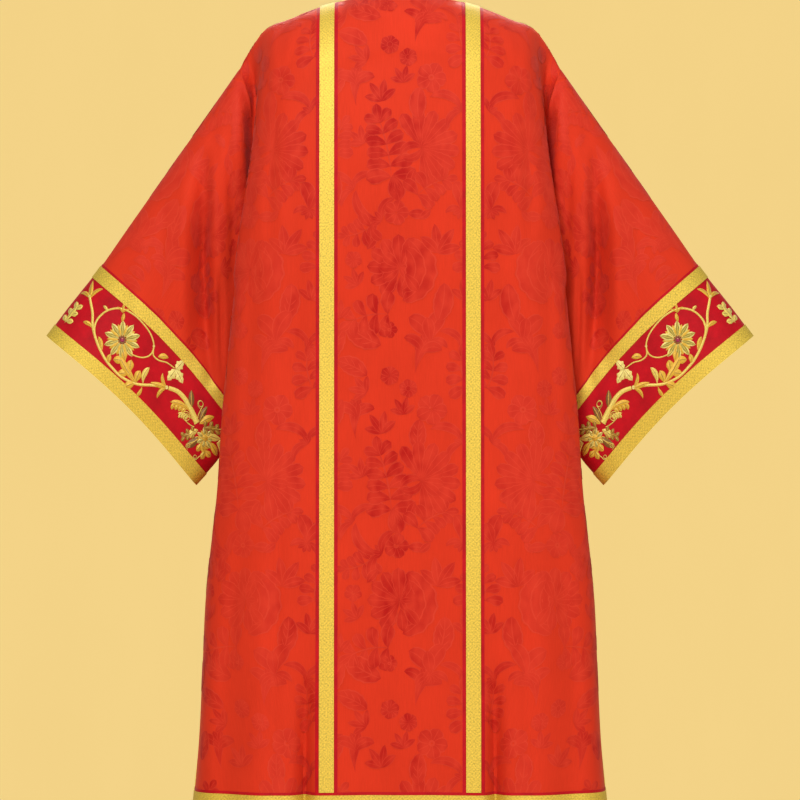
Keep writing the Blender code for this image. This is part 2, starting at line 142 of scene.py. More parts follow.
# The armhole edge, and the hollow of the cloth between it and the body's corner
Armhole = namedtuple("Armhole", "z hollow_x hollow_y seam_x seam_y")
ARMHOLE = rows_of(Armhole, (
    (-0.148, 0.2275, 0.012, 0.2400, 0.024),
    (-0.190, 0.2285, 0.012, 0.2365, 0.015),
    (-0.240, 0.2310, 0.028, 0.2345, 0.010),
    (-0.300, 0.2320, 0.036, 0.2320, 0.009),
    (-0.360, 0.2300, 0.038, 0.2240, 0.011),
    (-0.410, 0.2290, 0.038, 0.2215, 0.011),
    (-0.432, 0.2280, 0.038, 0.2195, 0.008),
    (-0.440, 0.2270, 0.040, 0.2190, 0.000),
))
ARMHOLE_ROWS = (-0.190, -0.235, -0.280, -0.325, -0.370, -0.408, -0.432, -0.440)

# The side seam under the arm, drawn in where the sleeve hangs against the body
Side = namedtuple("Side", "z hollow_x hollow_y seam_x")
SIDE = rows_of(Side, (
    (-0.440, 0.227, 0.040, 0.219),
    (-0.520, 0.233, 0.042, 0.224),
    (-0.600, 0.243, 0.043, 0.234),
    (-0.680, 0.256, 0.044, 0.248),
    (-0.750, 0.275, 0.046, 0.269),
    (-0.820, 0.292, 0.048, 0.289),
    (-0.920, 0.3055, 0.050, 0.3050),
    (-1.140, 0.3160, 0.050, 0.3165),
    (-1.270, 0.3265, 0.052, 0.3290),
))
SIDE_ROWS = (-0.490, -0.550, -0.615, -0.680, -0.750, -0.825, -0.930, -1.050)

# The largest folds of a panel: they start at a height and deepen towards the hem
Fold = namedtuple("Fold", "x_top x_hem z_top depth width")
BACK_FOLDS = rows_of(Fold, (
    (0.146, 0.152, -0.960, -0.012, 0.014),
    (0.190, 0.212, -0.500, 0.007, 0.034),
    (0.228, 0.268, -0.600, -0.009, 0.026),
    (0.030, 0.046, -0.520, -0.004, 0.030),
))
FRONT_FOLDS = rows_of(Fold, (
    (0.150, 0.158, -0.420, -0.011, 0.022),
    (0.196, 0.222, -0.400, 0.009, 0.032),
    (0.040, 0.052, -0.450, -0.006, 0.030),
))

# The sleeve along its upper edge: that edge, the edge under the arm, and its depth
Sleeve = namedtuple("Sleeve", "along top_x top_z under_x under_z back front middle_y")
SLEEVE = rows_of(Sleeve, (
    (0.000, 0.256, -0.098, 0.219, -0.440, 0.046, 0.048, 0.000),
    (0.030, 0.2734, -0.1226, 0.233, -0.444, 0.048, 0.050, 0.001),
    (0.100, 0.314, -0.180, 0.250, -0.468, 0.050, 0.052, 0.003),
    (0.220, 0.383, -0.278, 0.257, -0.520, 0.051, 0.055, 0.007),
    (0.320, 0.441, -0.360, 0.263, -0.585, 0.052, 0.056, 0.010),
    (0.384, 0.478, -0.413, 0.268, -0.640, 0.052, 0.056, 0.012),
    (0.470, 0.531, -0.480, 0.289, -0.716, 0.052, 0.056, 0.014),
    (0.527, 0.565, -0.525, 0.328, -0.762, 0.052, 0.056, 0.015),
))
SLEEVE_ROWS = (0.006, 0.012, 0.018, 0.028, 0.060, 0.140, 0.200, 0.265, 0.325)
BAND_STEPS = 3
DRAW_IN = 0.100
LIP_REACH = 0.024

# Across the sleeve: it is fullest over the arm, thins as it hangs, and closes in a tight turn
FULLEST_AT = 0.30
HANG_THINNER = 0.45
HANG_OVER = 0.60
TURN_POWER = 6

# Upright folds in the sleeve's hanging cloth, at a distance from the middle of the body
TROUGH_ENDS = 0.10
Trough = namedtuple("Trough", "x z_top z_low depth width")
TROUGHS = rows_of(Trough, (
    (0.322, -0.300, -0.600, 0.016, 0.014),
    (0.284, -0.200, -0.640, -0.006, 0.014),
))

# How fine the grids are, and the slow swell of hanging cloth
COLUMN_STEP = 0.0052
ROW_STEP = 0.0085
EDGE_FADE = 0.030
YOKE_Z = -0.120
YOKE_FADE = 0.08
SWELL_FADE = 0.3
CREASE_ENDS = 0.7
SWELL = 0.0026
CROSS_TALL = 0.73
CROSS_WIDE = 1.9
SWELLS = ((0.031, 0.190, 0.4), (0.052, 0.310, 2.1), (0.083, 0.230, 4.0))
CUFF_GIVE = 0.25

# Softer creases: where each starts and ends, how far it bows out, and how deep it presses in
Crease = namedtuple("Crease", "x_top z_top x_low z_low bow depth width")
BACK_CREASES = rows_of(Crease, (
    (0.1480, -1.060, 0.1500, -1.480, 0.0, 0.0170, 0.0095),
    (0.196, -0.060, 0.205, -0.420, 0.004, 0.0050, 0.012),
    (0.222, -0.330, 0.238, -0.760, 0.006, 0.0045, 0.014),
    (0.165, -0.250, 0.172, -0.800, -0.004, 0.0030, 0.016),
    (0.060, -0.120, 0.052, -0.620, 0.003, 0.0022, 0.018),
    (0.020, -0.480, 0.012, -1.180, 0.004, 0.0028, 0.020),
    (0.185, -0.720, 0.200, -1.262, 0.004, 0.0060, 0.013),
    (0.250, -0.820, 0.285, -1.268, 0.005, 0.0055, 0.015),
))
FRONT_CREASES = rows_of(Crease, (
    (0.190, -0.080, 0.200, -0.440, 0.004, 0.0050, 0.013),
    (0.070, -0.140, 0.055, -0.700, 0.004, 0.0030, 0.018),
    (0.150, -0.360, 0.162, -1.000, -0.004, 0.0036, 0.015),
    (0.030, -0.520, 0.020, -1.220, 0.005, 0.0040, 0.019),
    (0.215, -0.640, 0.246, -1.262, 0.006, 0.0062, 0.014),
))
SHOULDER_CREASES = rows_of(Crease, (
    (0.216, -0.030, 0.238, -0.185, 0.002, 0.006, 0.008),
    (0.198, -0.040, 0.214, -0.300, -0.003, -0.0040, 0.009),
    (0.150, -0.020, 0.205, -0.150, -0.006, 0.0016, 0.008),
))
SLEEVE_CREASES = rows_of(Crease, (
    (0.312, -0.225, 0.300, -0.610, 0.008, 0.0230, 0.011),
    (0.287, -0.420, 0.284, -0.600, 0.000, 0.0100, 0.005),
    (0.300, -0.140, 0.282, -0.420, -0.004, 0.0034, 0.007),
    (0.300, -0.170, 0.306, -0.560, 0.004, 0.0050, 0.008),
    (0.345, -0.240, 0.350, -0.560, -0.003, -0.0040, 0.010),
    (0.372, -0.280, 0.378, -0.560, 0.004, 0.0035, 0.010),
    (0.270, -0.150, 0.262, -0.460, 0.003, 0.0040, 0.008),
    (0.410, -0.330, 0.420, -0.560, 0.003, -0.0024, 0.012),
))

# How strongly the damask's figure shows against its ground, across the cloth: painted sheen,
# stronger in the bands where light catches the satin
FIGURE_REACH = 0.45
FIGURE_PAINTED_SHEEN = (
    (-0.42, 0.90), (-0.345, 0.90), (-0.290, 0.45), (-0.215, 0.30), (-0.150, 0.80),
    (-0.085, 0.40), (-0.045, 0.95), (0.010, 0.95), (0.050, 0.50), (0.095, 0.60),
    (0.150, 0.80), (0.215, 0.30), (0.290, 0.45), (0.345, 0.90), (0.42, 0.90))
SLEEVE_PAINTED_SHEEN = ((-0.40, 0.50), (-0.22, 0.75), (-0.13, 0.35), (0.0, 0.30), (0.13, 0.35),
                (0.22, 0.75), (0.40, 0.50))

# How much of the figure shows in the cloth's lighter and darker patches
PATCHES = ((0.32, (0.35, 0.35, 0.35)), (0.68, (1.30, 1.30, 1.30)))

# Strokes that cross lie on layers of their own, at heights that don't come again nearby
FIGURE_LAYER = 0.00004
LAYERS = 12
LAYER_SHIFT = 0.9
GOLDEN = 0.618034

# Stage
STAGE_FLOOR = -1.47
STAGE_PLANES = (
    ("pale_floor", 4.2, (0.0, 0.0, STAGE_FLOOR), 0.0, 0.0),
    ("pale_backdrop", 18.0, (0.0, 16.0, -0.6), math.pi / 2, 1.0),
)
BACKDROP_GLOW = (0.66, 0.46, 0.135)
FLOOR_COLOUR = (0.74, 0.60, 0.35)
ROOM_LIGHT = 0.26
CAMERA_PLACE = (0.0, -7.0, -0.627)
PICTURE_WIDE = 1.28
LIGHTS = (
    ("key", (-1.1, -5.0, 2.2), (0.0, 0.0, -0.6), 1.5, 224.0, (1.0, 0.98, 0.95)),
    ("fill", (3.2, -4.2, 0.4), (0.0, 0.0, -0.6), 3.0, 78.0, (1.0, 0.97, 0.94)),
    ("top", (0.0, -0.6, 2.4), (0.0, 0.2, -0.6), 2.4, 24.0, (1.0, 0.98, 0.96)),
    ("front", (0.0, 4.6, 3.2), (0.0, 0.0, -0.6), 2.0, 150.0, (1.0, 0.98, 0.95)),
)


def smooth(rows, key, column, at):
    """A column of a table at a place between its rows, on a smooth curve through them."""
    places = np.array([getattr(row, key) for row in rows])
    values = np.array([getattr(row, column) for row in rows])
    if places[0] > places[-1]:
        places = places[::-1]
        values = values[::-1]
    slopes = np.gradient(values, places)
    at = min(max(at, places[0]), places[-1])
    i = min(int(np.searchsorted(places, at, side="right")) - 1, len(places) - 2)
    step = places[i + 1] - places[i]
    t = (at - places[i]) / step
    rise = t * t * (3 - 2 * t)
    start = t * (1 - t) * (1 - t) * slopes[i] * step
    end = t * t * (t - 1) * slopes[i + 1] * step
    return float(values[i] * (1 - rise) + values[i + 1] * rise + start + end)


def ease(t):
    """A soft step from 0 to 1."""
    t = min(max(t, 0.0), 1.0)
    return t * t * (3 - 2 * t)


def through(stations):
    """Points on a rounded line through stations, whose first and last only steer it."""
    stations = [np.array(s, float) for s in stations]
    points = [stations[1]]
    for a, b, c, d in zip(stations, stations[1:], stations[2:], stations[3:]):
        for k in range(1, SPAN_STEPS + 1):
            t = k / SPAN_STEPS
            into = (c - a) / 2
            out = (d - b) / 2
            near = b * (1 - ease(t)) + c * ease(t)
            points.append(near + into * t * (1 - t) ** 2 + out * t * t * (t - 1))
    return np.array(points)


def body_half(z, side):
    """The right half of a panel from above, from its middle line to its edge; side is -1 behind."""
    half = smooth(SECTIONS, "z", "half", z)
    depth = smooth(SECTIONS, "z", "back" if side < 0 else "front", z) * side
    line = [(corner.across * half, corner.deep * depth) for corner in CORNERS]
    rows = ARMHOLE if z > ARMHOLE[-1].z else SIDE
    hollow = (smooth(rows, "z", "hollow_x", z), smooth(rows, "z", "hollow_y", z) * side)
    if rows is SIDE:
        seam = (smooth(SIDE, "z", "seam_x", z), 0)
        beyond = (hollow[0], -hollow[1])
    else:
        seam = (smooth(ARMHOLE, "z", "seam_x", z), smooth(ARMHOLE, "z", "seam_y", z) * side)
        beyond = (2 * seam[0] - hollow[0], 2 * seam[1] - hollow[1])
    return through(line + [hollow, seam, beyond])


def vent_open(z):
    """How far the vent at the side stands open at a height, as a share of its width."""
    return ease((HEM_Z + VENT - z) / VENT)


def panel_columns():
    """The middle and clavus columns' distances from the middle, then the outer columns' shares."""
    ground = (CLAVUS_MIDDLE - GALLOON_WIDTH / 2 - GROUND_MARGIN,
              CLAVUS_MIDDLE - GALLOON_WIDTH / 2,
              CLAVUS_MIDDLE + GALLOON_WIDTH / 2,
              CLAVUS_MIDDLE + GALLOON_WIDTH / 2 + GROUND_MARGIN)
    inner = [ground[0] * math.sin(math.pi / 2 * k / CENTRE_STEPS) for k in range(CENTRE_STEPS)]
    return inner + list(ground), list(SIDE_PLACES)


def on_section(z, side, column):
    """The point of a panel's column at a height, on the section there."""
    line = body_half(z, side)
    outward = slice(0, OUTWARD_SPANS * SPAN_STEPS)
    fixed, shares = panel_columns()
    if column < len(fixed):
        y = np.interp(fixed[column], line[outward, 0], line[outward, 1])
        return np.array([fixed[column], y])
    steps = np.hypot(*np.diff(line, axis=0).T)
    lengths = np.concatenate([[0], np.cumsum(steps)])
    from_length = np.interp(fixed[-1], line[outward, 0], lengths[outward])
    at = from_length + (lengths[-1] - from_length) * shares[column - len(fixed)]
    return np.array([np.interp(at, lengths, line[:, 0]), np.interp(at, lengths, line[:, 1])])


def shoulder_top(side, column):
    """The top of a column: its x, the height of the ridge there, its roll and its first angle."""
    fixed, shares = panel_columns()
    if column >= len(fixed):
        x = fixed[-1] + (SHOULDER[-1].x - fixed[-1]) * shares[column - len(fixed)]
    else:
        x = fixed[column]
    roll = smooth(SHOULDER, "x", "roll", x)
    if x >= NECK_HALF - 1e-6:
        return x, smooth(SHOULDER, "x", "z", x), roll, 0.0
    round_off = math.sqrt(1 - (x / NECK_HALF) ** 2)
    deep = NECK_BACK_DEPTH if side < 0 else NECK_FRONT_DEPTH
    middle_z = NECK_BACK_Z if side < 0 else NECK_FRONT_Z
    z = NECK_POINT_Z + (middle_z - NECK_POINT_Z) * round_off
    depth = smooth(SECTIONS, "z", "back" if side < 0 else "front", SECTIONS[1].z)
    angle = math.asin(min(deep * round_off / depth, 0.95))
    return x, z + roll * (1 - math.cos(angle)), roll, angle


def edge_rows():
    """Heights of the rows below the shoulder's roll, where they meet the side edge."""
    vent = [VENT + (HEM_GROUND - VENT) * k / VENT_ROWS for k in range(VENT_ROWS)]
    low = vent + [HEM_GROUND, HEM_GALLOON, 0]
    return list(ARMHOLE_ROWS + SIDE_ROWS) + [HEM_Z + height for height in low]


def half_panel(side):
    """Points of the right half of a panel, a row for each height and a column for each place."""
    rows = edge_rows()
    count = len(panel_columns()[0]) + len(SIDE_PLACES)
    edge_yoke = SHOULDER[-1].z - SHOULDER[-1].roll
    grid = np.zeros((ROLL_STEPS + 1 + len(rows), count, 3))
    for column in range(count):
        x_top, ridge, roll, angle = shoulder_top(side, column)
        yoke_z = ridge - roll
        yoke_x, yoke_y = on_section(yoke_z, side, column)
        for step in range(ROLL_STEPS + 1):
            turn = angle + (math.pi / 2 - angle) * step / ROLL_STEPS
            down = 1 - math.cos(turn)
            grid[step, column] = (x_top + (yoke_x - x_top) * down, yoke_y * math.sin(turn),
                                  ridge - roll * down)
        for step, edge_z in enumerate(rows):
            share = (edge_yoke - edge_z) / (edge_yoke - HEM_Z)
            z = yoke_z + (HEM_Z - yoke_z) * share
            x, y = on_section(z, side, column)
            if column == count - 1:
                y += side * VENT_GAP / 2 * vent_open(z)
            grid[ROLL_STEPS + 1 + step, column] = (x, y, z)
    return grid


def mirrored(grid):
    """The same points on the other side of the body."""
    return grid * np.array([-1, 1, 1])


def whole_panel(side):
    """A whole panel's points, its columns in the order that turns its faces outwards."""
    right = half_panel(side)
    left = mirrored(right)
    if side < 0:
        return np.concatenate([right[:, ::-1], left[:, 1:]], axis=1)
    return np.concatenate([left[:, ::-1], right[:, 1:]], axis=1)


def sleeve_profile(share):
    """How full the sleeve is between its upper edge, at 0, and the edge under the arm, at 1."""
    if share < FULLEST_AT:
        return math.sqrt(max(0.0, 1 - (1 - share / FULLEST_AT) ** 2))
    hang = 1 - HANG_THINNER * ease((share - FULLEST_AT) / HANG_OVER)
    return hang * math.sqrt(max(0.0, 1 - ((share - FULLEST_AT) / (1 - FULLEST_AT)) ** TURN_POWER))


def sleeve_places():
    """Distances of the sleeve's rows from the armhole."""
    low = SLEEVE_LENGTH - CUFF_BAND
    high = SLEEVE_LENGTH - CUFF_GALLOON
    band = [low + (high - low) * k / BAND_STEPS for k in range(BAND_STEPS + 1)]
    bands = [SLEEVE_LENGTH - CUFF_GROUND, SLEEVE_LENGTH - CUFF_UPPER] + band
    return [0.0] + list(SLEEVE_ROWS) + bands + [SLEEVE_LENGTH]


def right_sleeve(back, front):
    """Points of the right sleeve: its first row is the armhole edge of both panels."""
    last = ROLL_STEPS + len(ARMHOLE_ROWS)
    armhole = np.concatenate([back[: last + 1, 0], front[1:last, -1][::-1]])
    top_z = armhole[0, 2]
    under_z = armhole[last, 2]
    shares = (top_z - armhole[:, 2]) / (top_z - under_z)
    rows = []
    for along in sleeve_places():
        size = {c: smooth(SLEEVE, "along", c, along) for c in Sleeve._fields[1:]}
        bow = CUFF_BOW * ease(along / (SLEEVE_LENGTH - CUFF_GROUND))
        row = []
        for k, share in enumerate(shares):
            side = -1 if k <= last else 1
            depth = size["back"] if side < 0 else size["front"]
            lift = bow * math.sin(math.pi * share)
            x = size["top_x"] + (size["under_x"] - size["top_x"]) * share - lift
            z = size["top_z"] + (size["under_z"] - size["top_z"]) * share + lift
            y = size["middle_y"] + side * sleeve_profile(share) * depth
            row.append((x, y, z))
        rows.append(np.array(row))
    offset = armhole - rows[0]
    for along, row in zip(sleeve_places(), rows):
        row += offset * (max(0.0, 1 - along / DRAW_IN) ** 2, 1 - ease(along / LIP_REACH), 0)
    return np.array(rows)


def normals_of(points, closed):
    """The outward direction at each point of a grid."""
    if closed:
        across = np.roll(points, -1, axis=1) - np.roll(points, 1, axis=1)
    else:
        across = np.gradient(points, axis=1)
    down = np.gradient(points, axis=0)
    out = np.cross(across, down)
    return out / np.maximum(np.linalg.norm(out, axis=2, keepdims=True), 1e-12)


def lengths_along(points):
    """Distances along a line of points."""
    steps = np.linalg.norm(np.diff(points, axis=0), axis=1)
    return np.concatenate([[0.0], np.cumsum(steps)])


def finer(places, step):
    """Places that split each stretch evenly, and where the old places are among them."""
    fine = [places[0]]
    kept = [0]
    for a, b in zip(places, places[1:]):
        count = max(1, math.ceil((b - a) / step))
        fine += [a + (b - a) * k / count for k in range(1, count + 1)]
        kept.append(len(fine) - 1)
    return np.array(fine), kept


def curved(grid, places, fine):
    """The rows of a grid at finer places, on smooth curves through its own rows."""
    slopes = np.gradient(grid, places, axis=0)
    i = np.clip(np.searchsorted(places, fine, side="right") - 1, 0, len(places) - 2)
    step = (places[i + 1] - places[i])[:, None, None]
    t = (fine - places[i])[:, None, None] / step
    rise = t * t * (3 - 2 * t)
    start = t * (1 - t) ** 2 * slopes[i] * step
    end = t * t * (t - 1) * slopes[i + 1] * step
    return grid[i] * (1 - rise) + grid[i + 1] * rise + start + end


def uneven(x, z):
    """A slow, uneven swell of hanging cloth, longer along the fall than across it."""
    total = 0.0
    for wide, tall, turn in SWELLS:
        swell = np.sin(x / wide + z / tall + turn)
        total = total + swell * np.cos(z / (tall * CROSS_TALL) - x / (wide * CROSS_WIDE))
    return total / len(SWELLS)


def creases_of(table, x, z):
    """How deep a table's creases press in at a distance from the middle and a height."""
    total = np.zeros_like(x)
    for crease in table:
        t = (crease.z_top - z) / (crease.z_top - crease.z_low)
        ends = np.sin(np.pi * np.clip(t, 0, 1)) ** CREASE_ENDS
        middle = crease.x_top + (crease.x_low - crease.x_top) * t + crease.bow * np.sin(np.pi * t)
        total += crease.depth * ends * np.exp(-((x - middle) / crease.width) ** 2)
    return total


Cloth = namedtuple("Cloth", "points out across along rows columns closed")


def panel_cloth(side):
    """A whole panel on a fine grid, with its folds and creases."""
    coarse = whole_panel(side)
    middle = coarse.shape[1] // 2
    waist = ROLL_STEPS + len(ARMHOLE_ROWS)
    column_places = lengths_along(coarse[waist])
    row_places = lengths_along(coarse[:, middle - CENTRE_STEPS - 1])
    fine_columns, columns = finer(column_places, COLUMN_STEP)
    fine_rows, rows = finer(row_places, ROW_STEP)
    points = curved(coarse, row_places, fine_rows)
    points = curved(points.swapaxes(0, 1), column_places, fine_columns).swapaxes(0, 1)
    x = np.abs(points[..., 0])
    z = points[..., 2]
    from_edge = np.minimum(fine_columns, fine_columns[-1] - fine_columns)
    fade = np.clip(from_edge / EDGE_FADE, 0, 1) ** 2 * np.clip((YOKE_Z - z) / YOKE_FADE + 0.5, 0, 1)
    folds = BACK_FOLDS if side < 0 else FRONT_FOLDS
    depth = np.zeros_like(x)
    for fold in folds:
        grown = np.clip((fold.z_top - z) / (fold.z_top - HEM_Z), 0, 1)
        grown = grown * grown * (3 - 2 * grown)
        place = fold.x_top + (fold.x_hem - fold.x_top) * grown
        depth += fold.depth * grown * np.exp(-((x - place) / fold.width) ** 2)
    depth -= creases_of(BACK_CREASES if side < 0 else FRONT_CREASES, x, z)
    below = np.clip((YOKE_Z - z) / SWELL_FADE, 0, 1)
    depth += SWELL * uneven(points[..., 0] + 0.3 * side, z) * below
    points[..., 1] += side * (depth * fade - creases_of(SHOULDER_CREASES, x, z))
    out = normals_of(points, False)
    steps = np.linalg.norm(np.diff(points, axis=1), axis=2)
    across = np.concatenate([np.zeros((len(points), 1)), np.cumsum(steps, axis=1)], axis=1)
    across -= across[:, columns[middle]][:, None]
    across *= np.sign(points[waist, -1, 0])
    falls = np.linalg.norm(np.diff(points, axis=0), axis=2)
    along = np.cumsum(falls[::-1], axis=0)[::-1]
    along = np.concatenate([along, np.zeros((1, along.shape[1]))])
    return Cloth(points, out, across, along, rows, columns, False)


def sleeve_cloth(back, front):
    """The right sleeve on a fine grid, with its folds and creases."""
    coarse = right_sleeve(back, front)
    count = coarse.shape[1]
    ring = np.concatenate([coarse[:, -3:], coarse, coarse[:, :3]], axis=1)
    girth = lengths_along(ring[len(coarse) // 2])
    row_places = np.array(sleeve_places())
    fine_rows, rows = finer(row_places, ROW_STEP)
    points = curved(ring, row_places, fine_rows)
    fine_columns, columns = finer(girth[3:3 + count + 1], COLUMN_STEP)
    points = curved(points.swapaxes(0, 1), girth, fine_columns[:-1]).swapaxes(0, 1)
    under = columns[ROLL_STEPS + len(ARMHOLE_ROWS)]
    top_z = points[:, :1, 2]
    share = (top_z - points[..., 2]) / (top_z - points[:, under:under + 1, 2])
    side = np.where(np.arange(points.shape[1]) <= under, -1.0, 1.0)
    grown = np.clip(fine_rows / DRAW_IN, 0, 1)[:, None]
    fade = grown * grown * (3 - 2 * grown) * np.sin(np.pi * np.clip(share, 0, 1)) ** 0.5
    stiff = np.clip((SLEEVE_LENGTH - CUFF_GROUND - fine_rows) / 0.06, CUFF_GIVE, 1)[:, None]
    x = points[..., 0]
    z = points[..., 2]
    depth = creases_of(SLEEVE_CREASES, x, z) + SWELL * uneven(x * 1.4 + 0.8 * side, z) * stiff
    for trough in TROUGHS:
        high = np.clip((trough.z_top - z) / TROUGH_ENDS, 0, 1)
        low = np.clip((z - trough.z_low) / TROUGH_ENDS, 0, 1)
        long = high * high * (3 - 2 * high) * low * low * (3 - 2 * low)
        depth += trough.depth * long * np.exp(-((x - trough.x) / trough.width) ** 2)
    points[..., 1] -= side * depth * fade
    out = normals_of(points, True)
    loop = np.concatenate([points, points[:, :1]], axis=1)
    steps = np.linalg.norm(np.diff(loop, axis=1), axis=2)
    across = np.concatenate([np.zeros((len(points), 1)), np.cumsum(steps, axis=1)], axis=1)
    falls = np.linalg.norm(np.diff(points, axis=0), axis=2)
    along = np.cumsum(falls[::-1], axis=0)[::-1]
    along = np.concatenate([along, np.zeros((1, along.shape[1]))])
    return Cloth(points, out, across, along, rows, columns, True)


# Drawing on a cloth: strokes are small grids in the cloth's own lengths
Stroke = namedtuple("Stroke", "u v tones crown")
BLADE_ACROSS = np.array((-1.0, -0.86, -0.45, -0.06, 0.06, 0.45, 0.86, 1.0))
BLADE_TONES = (1.0, 0.0, 0.0, 0.8, 0.0, 0.0, 1.0)
NARROW_ACROSS = np.array((-1.0, -0.84, -0.08, 0.08, 0.84, 1.0))
NARROW = 0.0150
CORD_ACROSS = np.array((-1.0, -0.5, 0.0, 0.5, 1.0))
LOOPED = 0.56
WAVE = 0.5
WAVES = 7.0


def crowned(across):
    """How high a stroke stands at places across it, as a share of its crown."""
    return np.sqrt(np.maximum(0.0, 1 - across ** 2))


def blade(length, width, bend=0.0, belly=0.5, full=0.8, scallops=0, nick=0.0, steps=10,
          tones=BLADE_TONES):
    """A leaf or petal that grows up from its root, with a rib and an outline."""
    s = np.linspace(0, 1, steps + 1)
    turn = bend * s
    mid = (turn[1:] + turn[:-1]) / 2
    x = length / steps * np.concatenate([[0], np.cumsum(np.sin(mid))])
    y = length / steps * np.concatenate([[0], np.cumsum(np.cos(mid))])
    half = width / 2 * np.sin(np.pi * s ** (math.log(0.5) / math.log(belly))) ** full
    half = half * (1 - nick * (0.5 + 0.5 * np.cos(2 * np.pi * scallops * s)))
    slim = width < NARROW and tones[1] == tones[2]
    across = NARROW_ACROSS if slim else BLADE_ACROSS
    if slim:
        tones = tones[0:2] + tones[3:4] + tones[5:7]
    side = across[None, :] * half[:, None]
    u = x[:, None] + side * np.cos(turn)[:, None]
    v = y[:, None] - side * np.sin(turn)[:, None]
    crown = crowned(across)[None, :] * (half / max(half.max(), 1e-9))[:, None]
    return Stroke(u, v, tones, crown)


def cord(stations, width, taper=1.0, tone=0.0):
    """A stem of a width through stations, thinner towards its end."""
    return strip(through([stations[0]] + list(stations) + [stations[-1]]), width, taper, tone)


def tendril(length, width, turns, start, tone=0.0, steps=34):
    """A tendril that loops over half of its length, after a start, and runs on with a wave."""
    s = np.linspace(0, 1, steps + 1)
    heading = 2 * np.pi * turns * np.clip((s - start) / LOOPED, 0, 1) + WAVE * np.sin(WAVES * s)
    x = length / steps * np.concatenate([[0], np.cumsum(np.sin(heading[1:]))])
    y = length / steps * np.concatenate([[0], np.cumsum(np.cos(heading[1:]))])
    return strip(np.stack([x, y], axis=1), width, 0.6, tone)


def strip(line, width, taper, tone):
    """A strip of a width along a line, thinner towards its end."""
    run = np.gradient(line, axis=0)
    run = run / np.maximum(np.linalg.norm(run, axis=1, keepdims=True), 1e-9)
    half = width / 2 * np.linspace(1, taper, len(line))
    side = CORD_ACROSS[None, :] * half[:, None]
    u = line[:, :1] + side * run[:, 1:]
    v = line[:, 1:] - side * run[:, :1]
    crown = np.repeat(crowned(CORD_ACROSS)[None, :], len(line), axis=0)
    return Stroke(u, v, (tone,) * 4, crown)


def ring(radius, width, tone=0.0, scallops=0, nick=0.0, steps=28):
    """A ring round its middle, as round flowers have."""
    turn = np.linspace(0, 2 * np.pi, steps + 1)
    reach = 1 + nick * np.cos(scallops * turn)
    side = radius * reach[:, None] + CORD_ACROSS[None, :] * width / 2
    crown = np.repeat(crowned(CORD_ACROSS)[None, :], steps + 1, axis=0)
    return Stroke(side * np.sin(turn)[:, None], side * np.cos(turn)[:, None], (tone,) * 4, crown)


def placed(strokes, u, v, turn=0.0, size=1.0, flip=1):
    """Strokes turned clockwise, sized, flipped and moved to a place."""
    c = math.cos(turn)
    s = math.sin(turn)
    moved = []
    for stroke in strokes:
        x = stroke.u * size * flip
        y = stroke.v * size
        tones = stroke.tones
        crown = stroke.crown
        x, y = x * c + y * s, y * c - x * s
        if flip < 0:
            x, y, crown, tones = x[:, ::-1], y[:, ::-1], crown[:, ::-1], tones[::-1]
        moved.append(Stroke(x + u, y + v, tones, crown))
    return moved


def flat_rows(cloth):
    """A cloth's rows in order across it: lengths across, along, points and directions."""
    if cloth.closed:
        count = cloth.points.shape[1]
        under = cloth.columns[ROLL_STEPS + len(ARMHOLE_ROWS)]
        order = list(range(under, count)) + list(range(under + 1))
        beyond = cloth.across[:, under:count] - cloth.across[:, -1:]
        across = np.concatenate([beyond, cloth.across[:, :under + 1]], axis=1)
    else:
        order = slice(None) if cloth.across[0, -1] > 0 else slice(None, None, -1)
        across = cloth.across[:, order]
    return across, cloth.along[:, order], cloth.points[:, order], cloth.out[:, order]


def on_cloth(flat, u, v, lift):
    """Points on a cloth at lengths across and along it, lifted off it, and which ones lie on it."""
    across, along, points, out = flat
    numbers = np.arange(across.shape[1])
    places = np.array([np.interp(u, row, numbers) for row in across])
    heights = np.array([np.interp(place, numbers, row) for place, row in zip(places, along)])
    i = np.clip((heights > v).sum(axis=0) - 1, 0, len(across) - 2)
    k = np.arange(len(u))
    t = (heights[i, k] - v) / np.maximum(heights[i, k] - heights[i + 1, k], 1e-9)
    on = (t > -0.01) & (t < 1.01)
    t = np.clip(t, 0, 1)[:, None]
    ends = []
    for row in (i, i + 1):
        j = np.clip(places[row, k].astype(int), 0, across.shape[1] - 2)
        part = (places[row, k] - j)[:, None]
        spot = points[row, j] * (1 - part) + points[row, j + 1] * part
        away = out[row, j] * (1 - part) + out[row, j + 1] * part
        on &= (u > across[row, 0]) & (u < across[row, -1])
        ends.append((spot, away))
    spot = ends[0][0] * (1 - t) + ends[1][0] * t
    away = ends[0][1] * (1 - t) + ends[1][1] * t
    away /= np.maximum(np.linalg.norm(away, axis=1, keepdims=True), 1e-9)
    return spot + away * lift[:, None], on


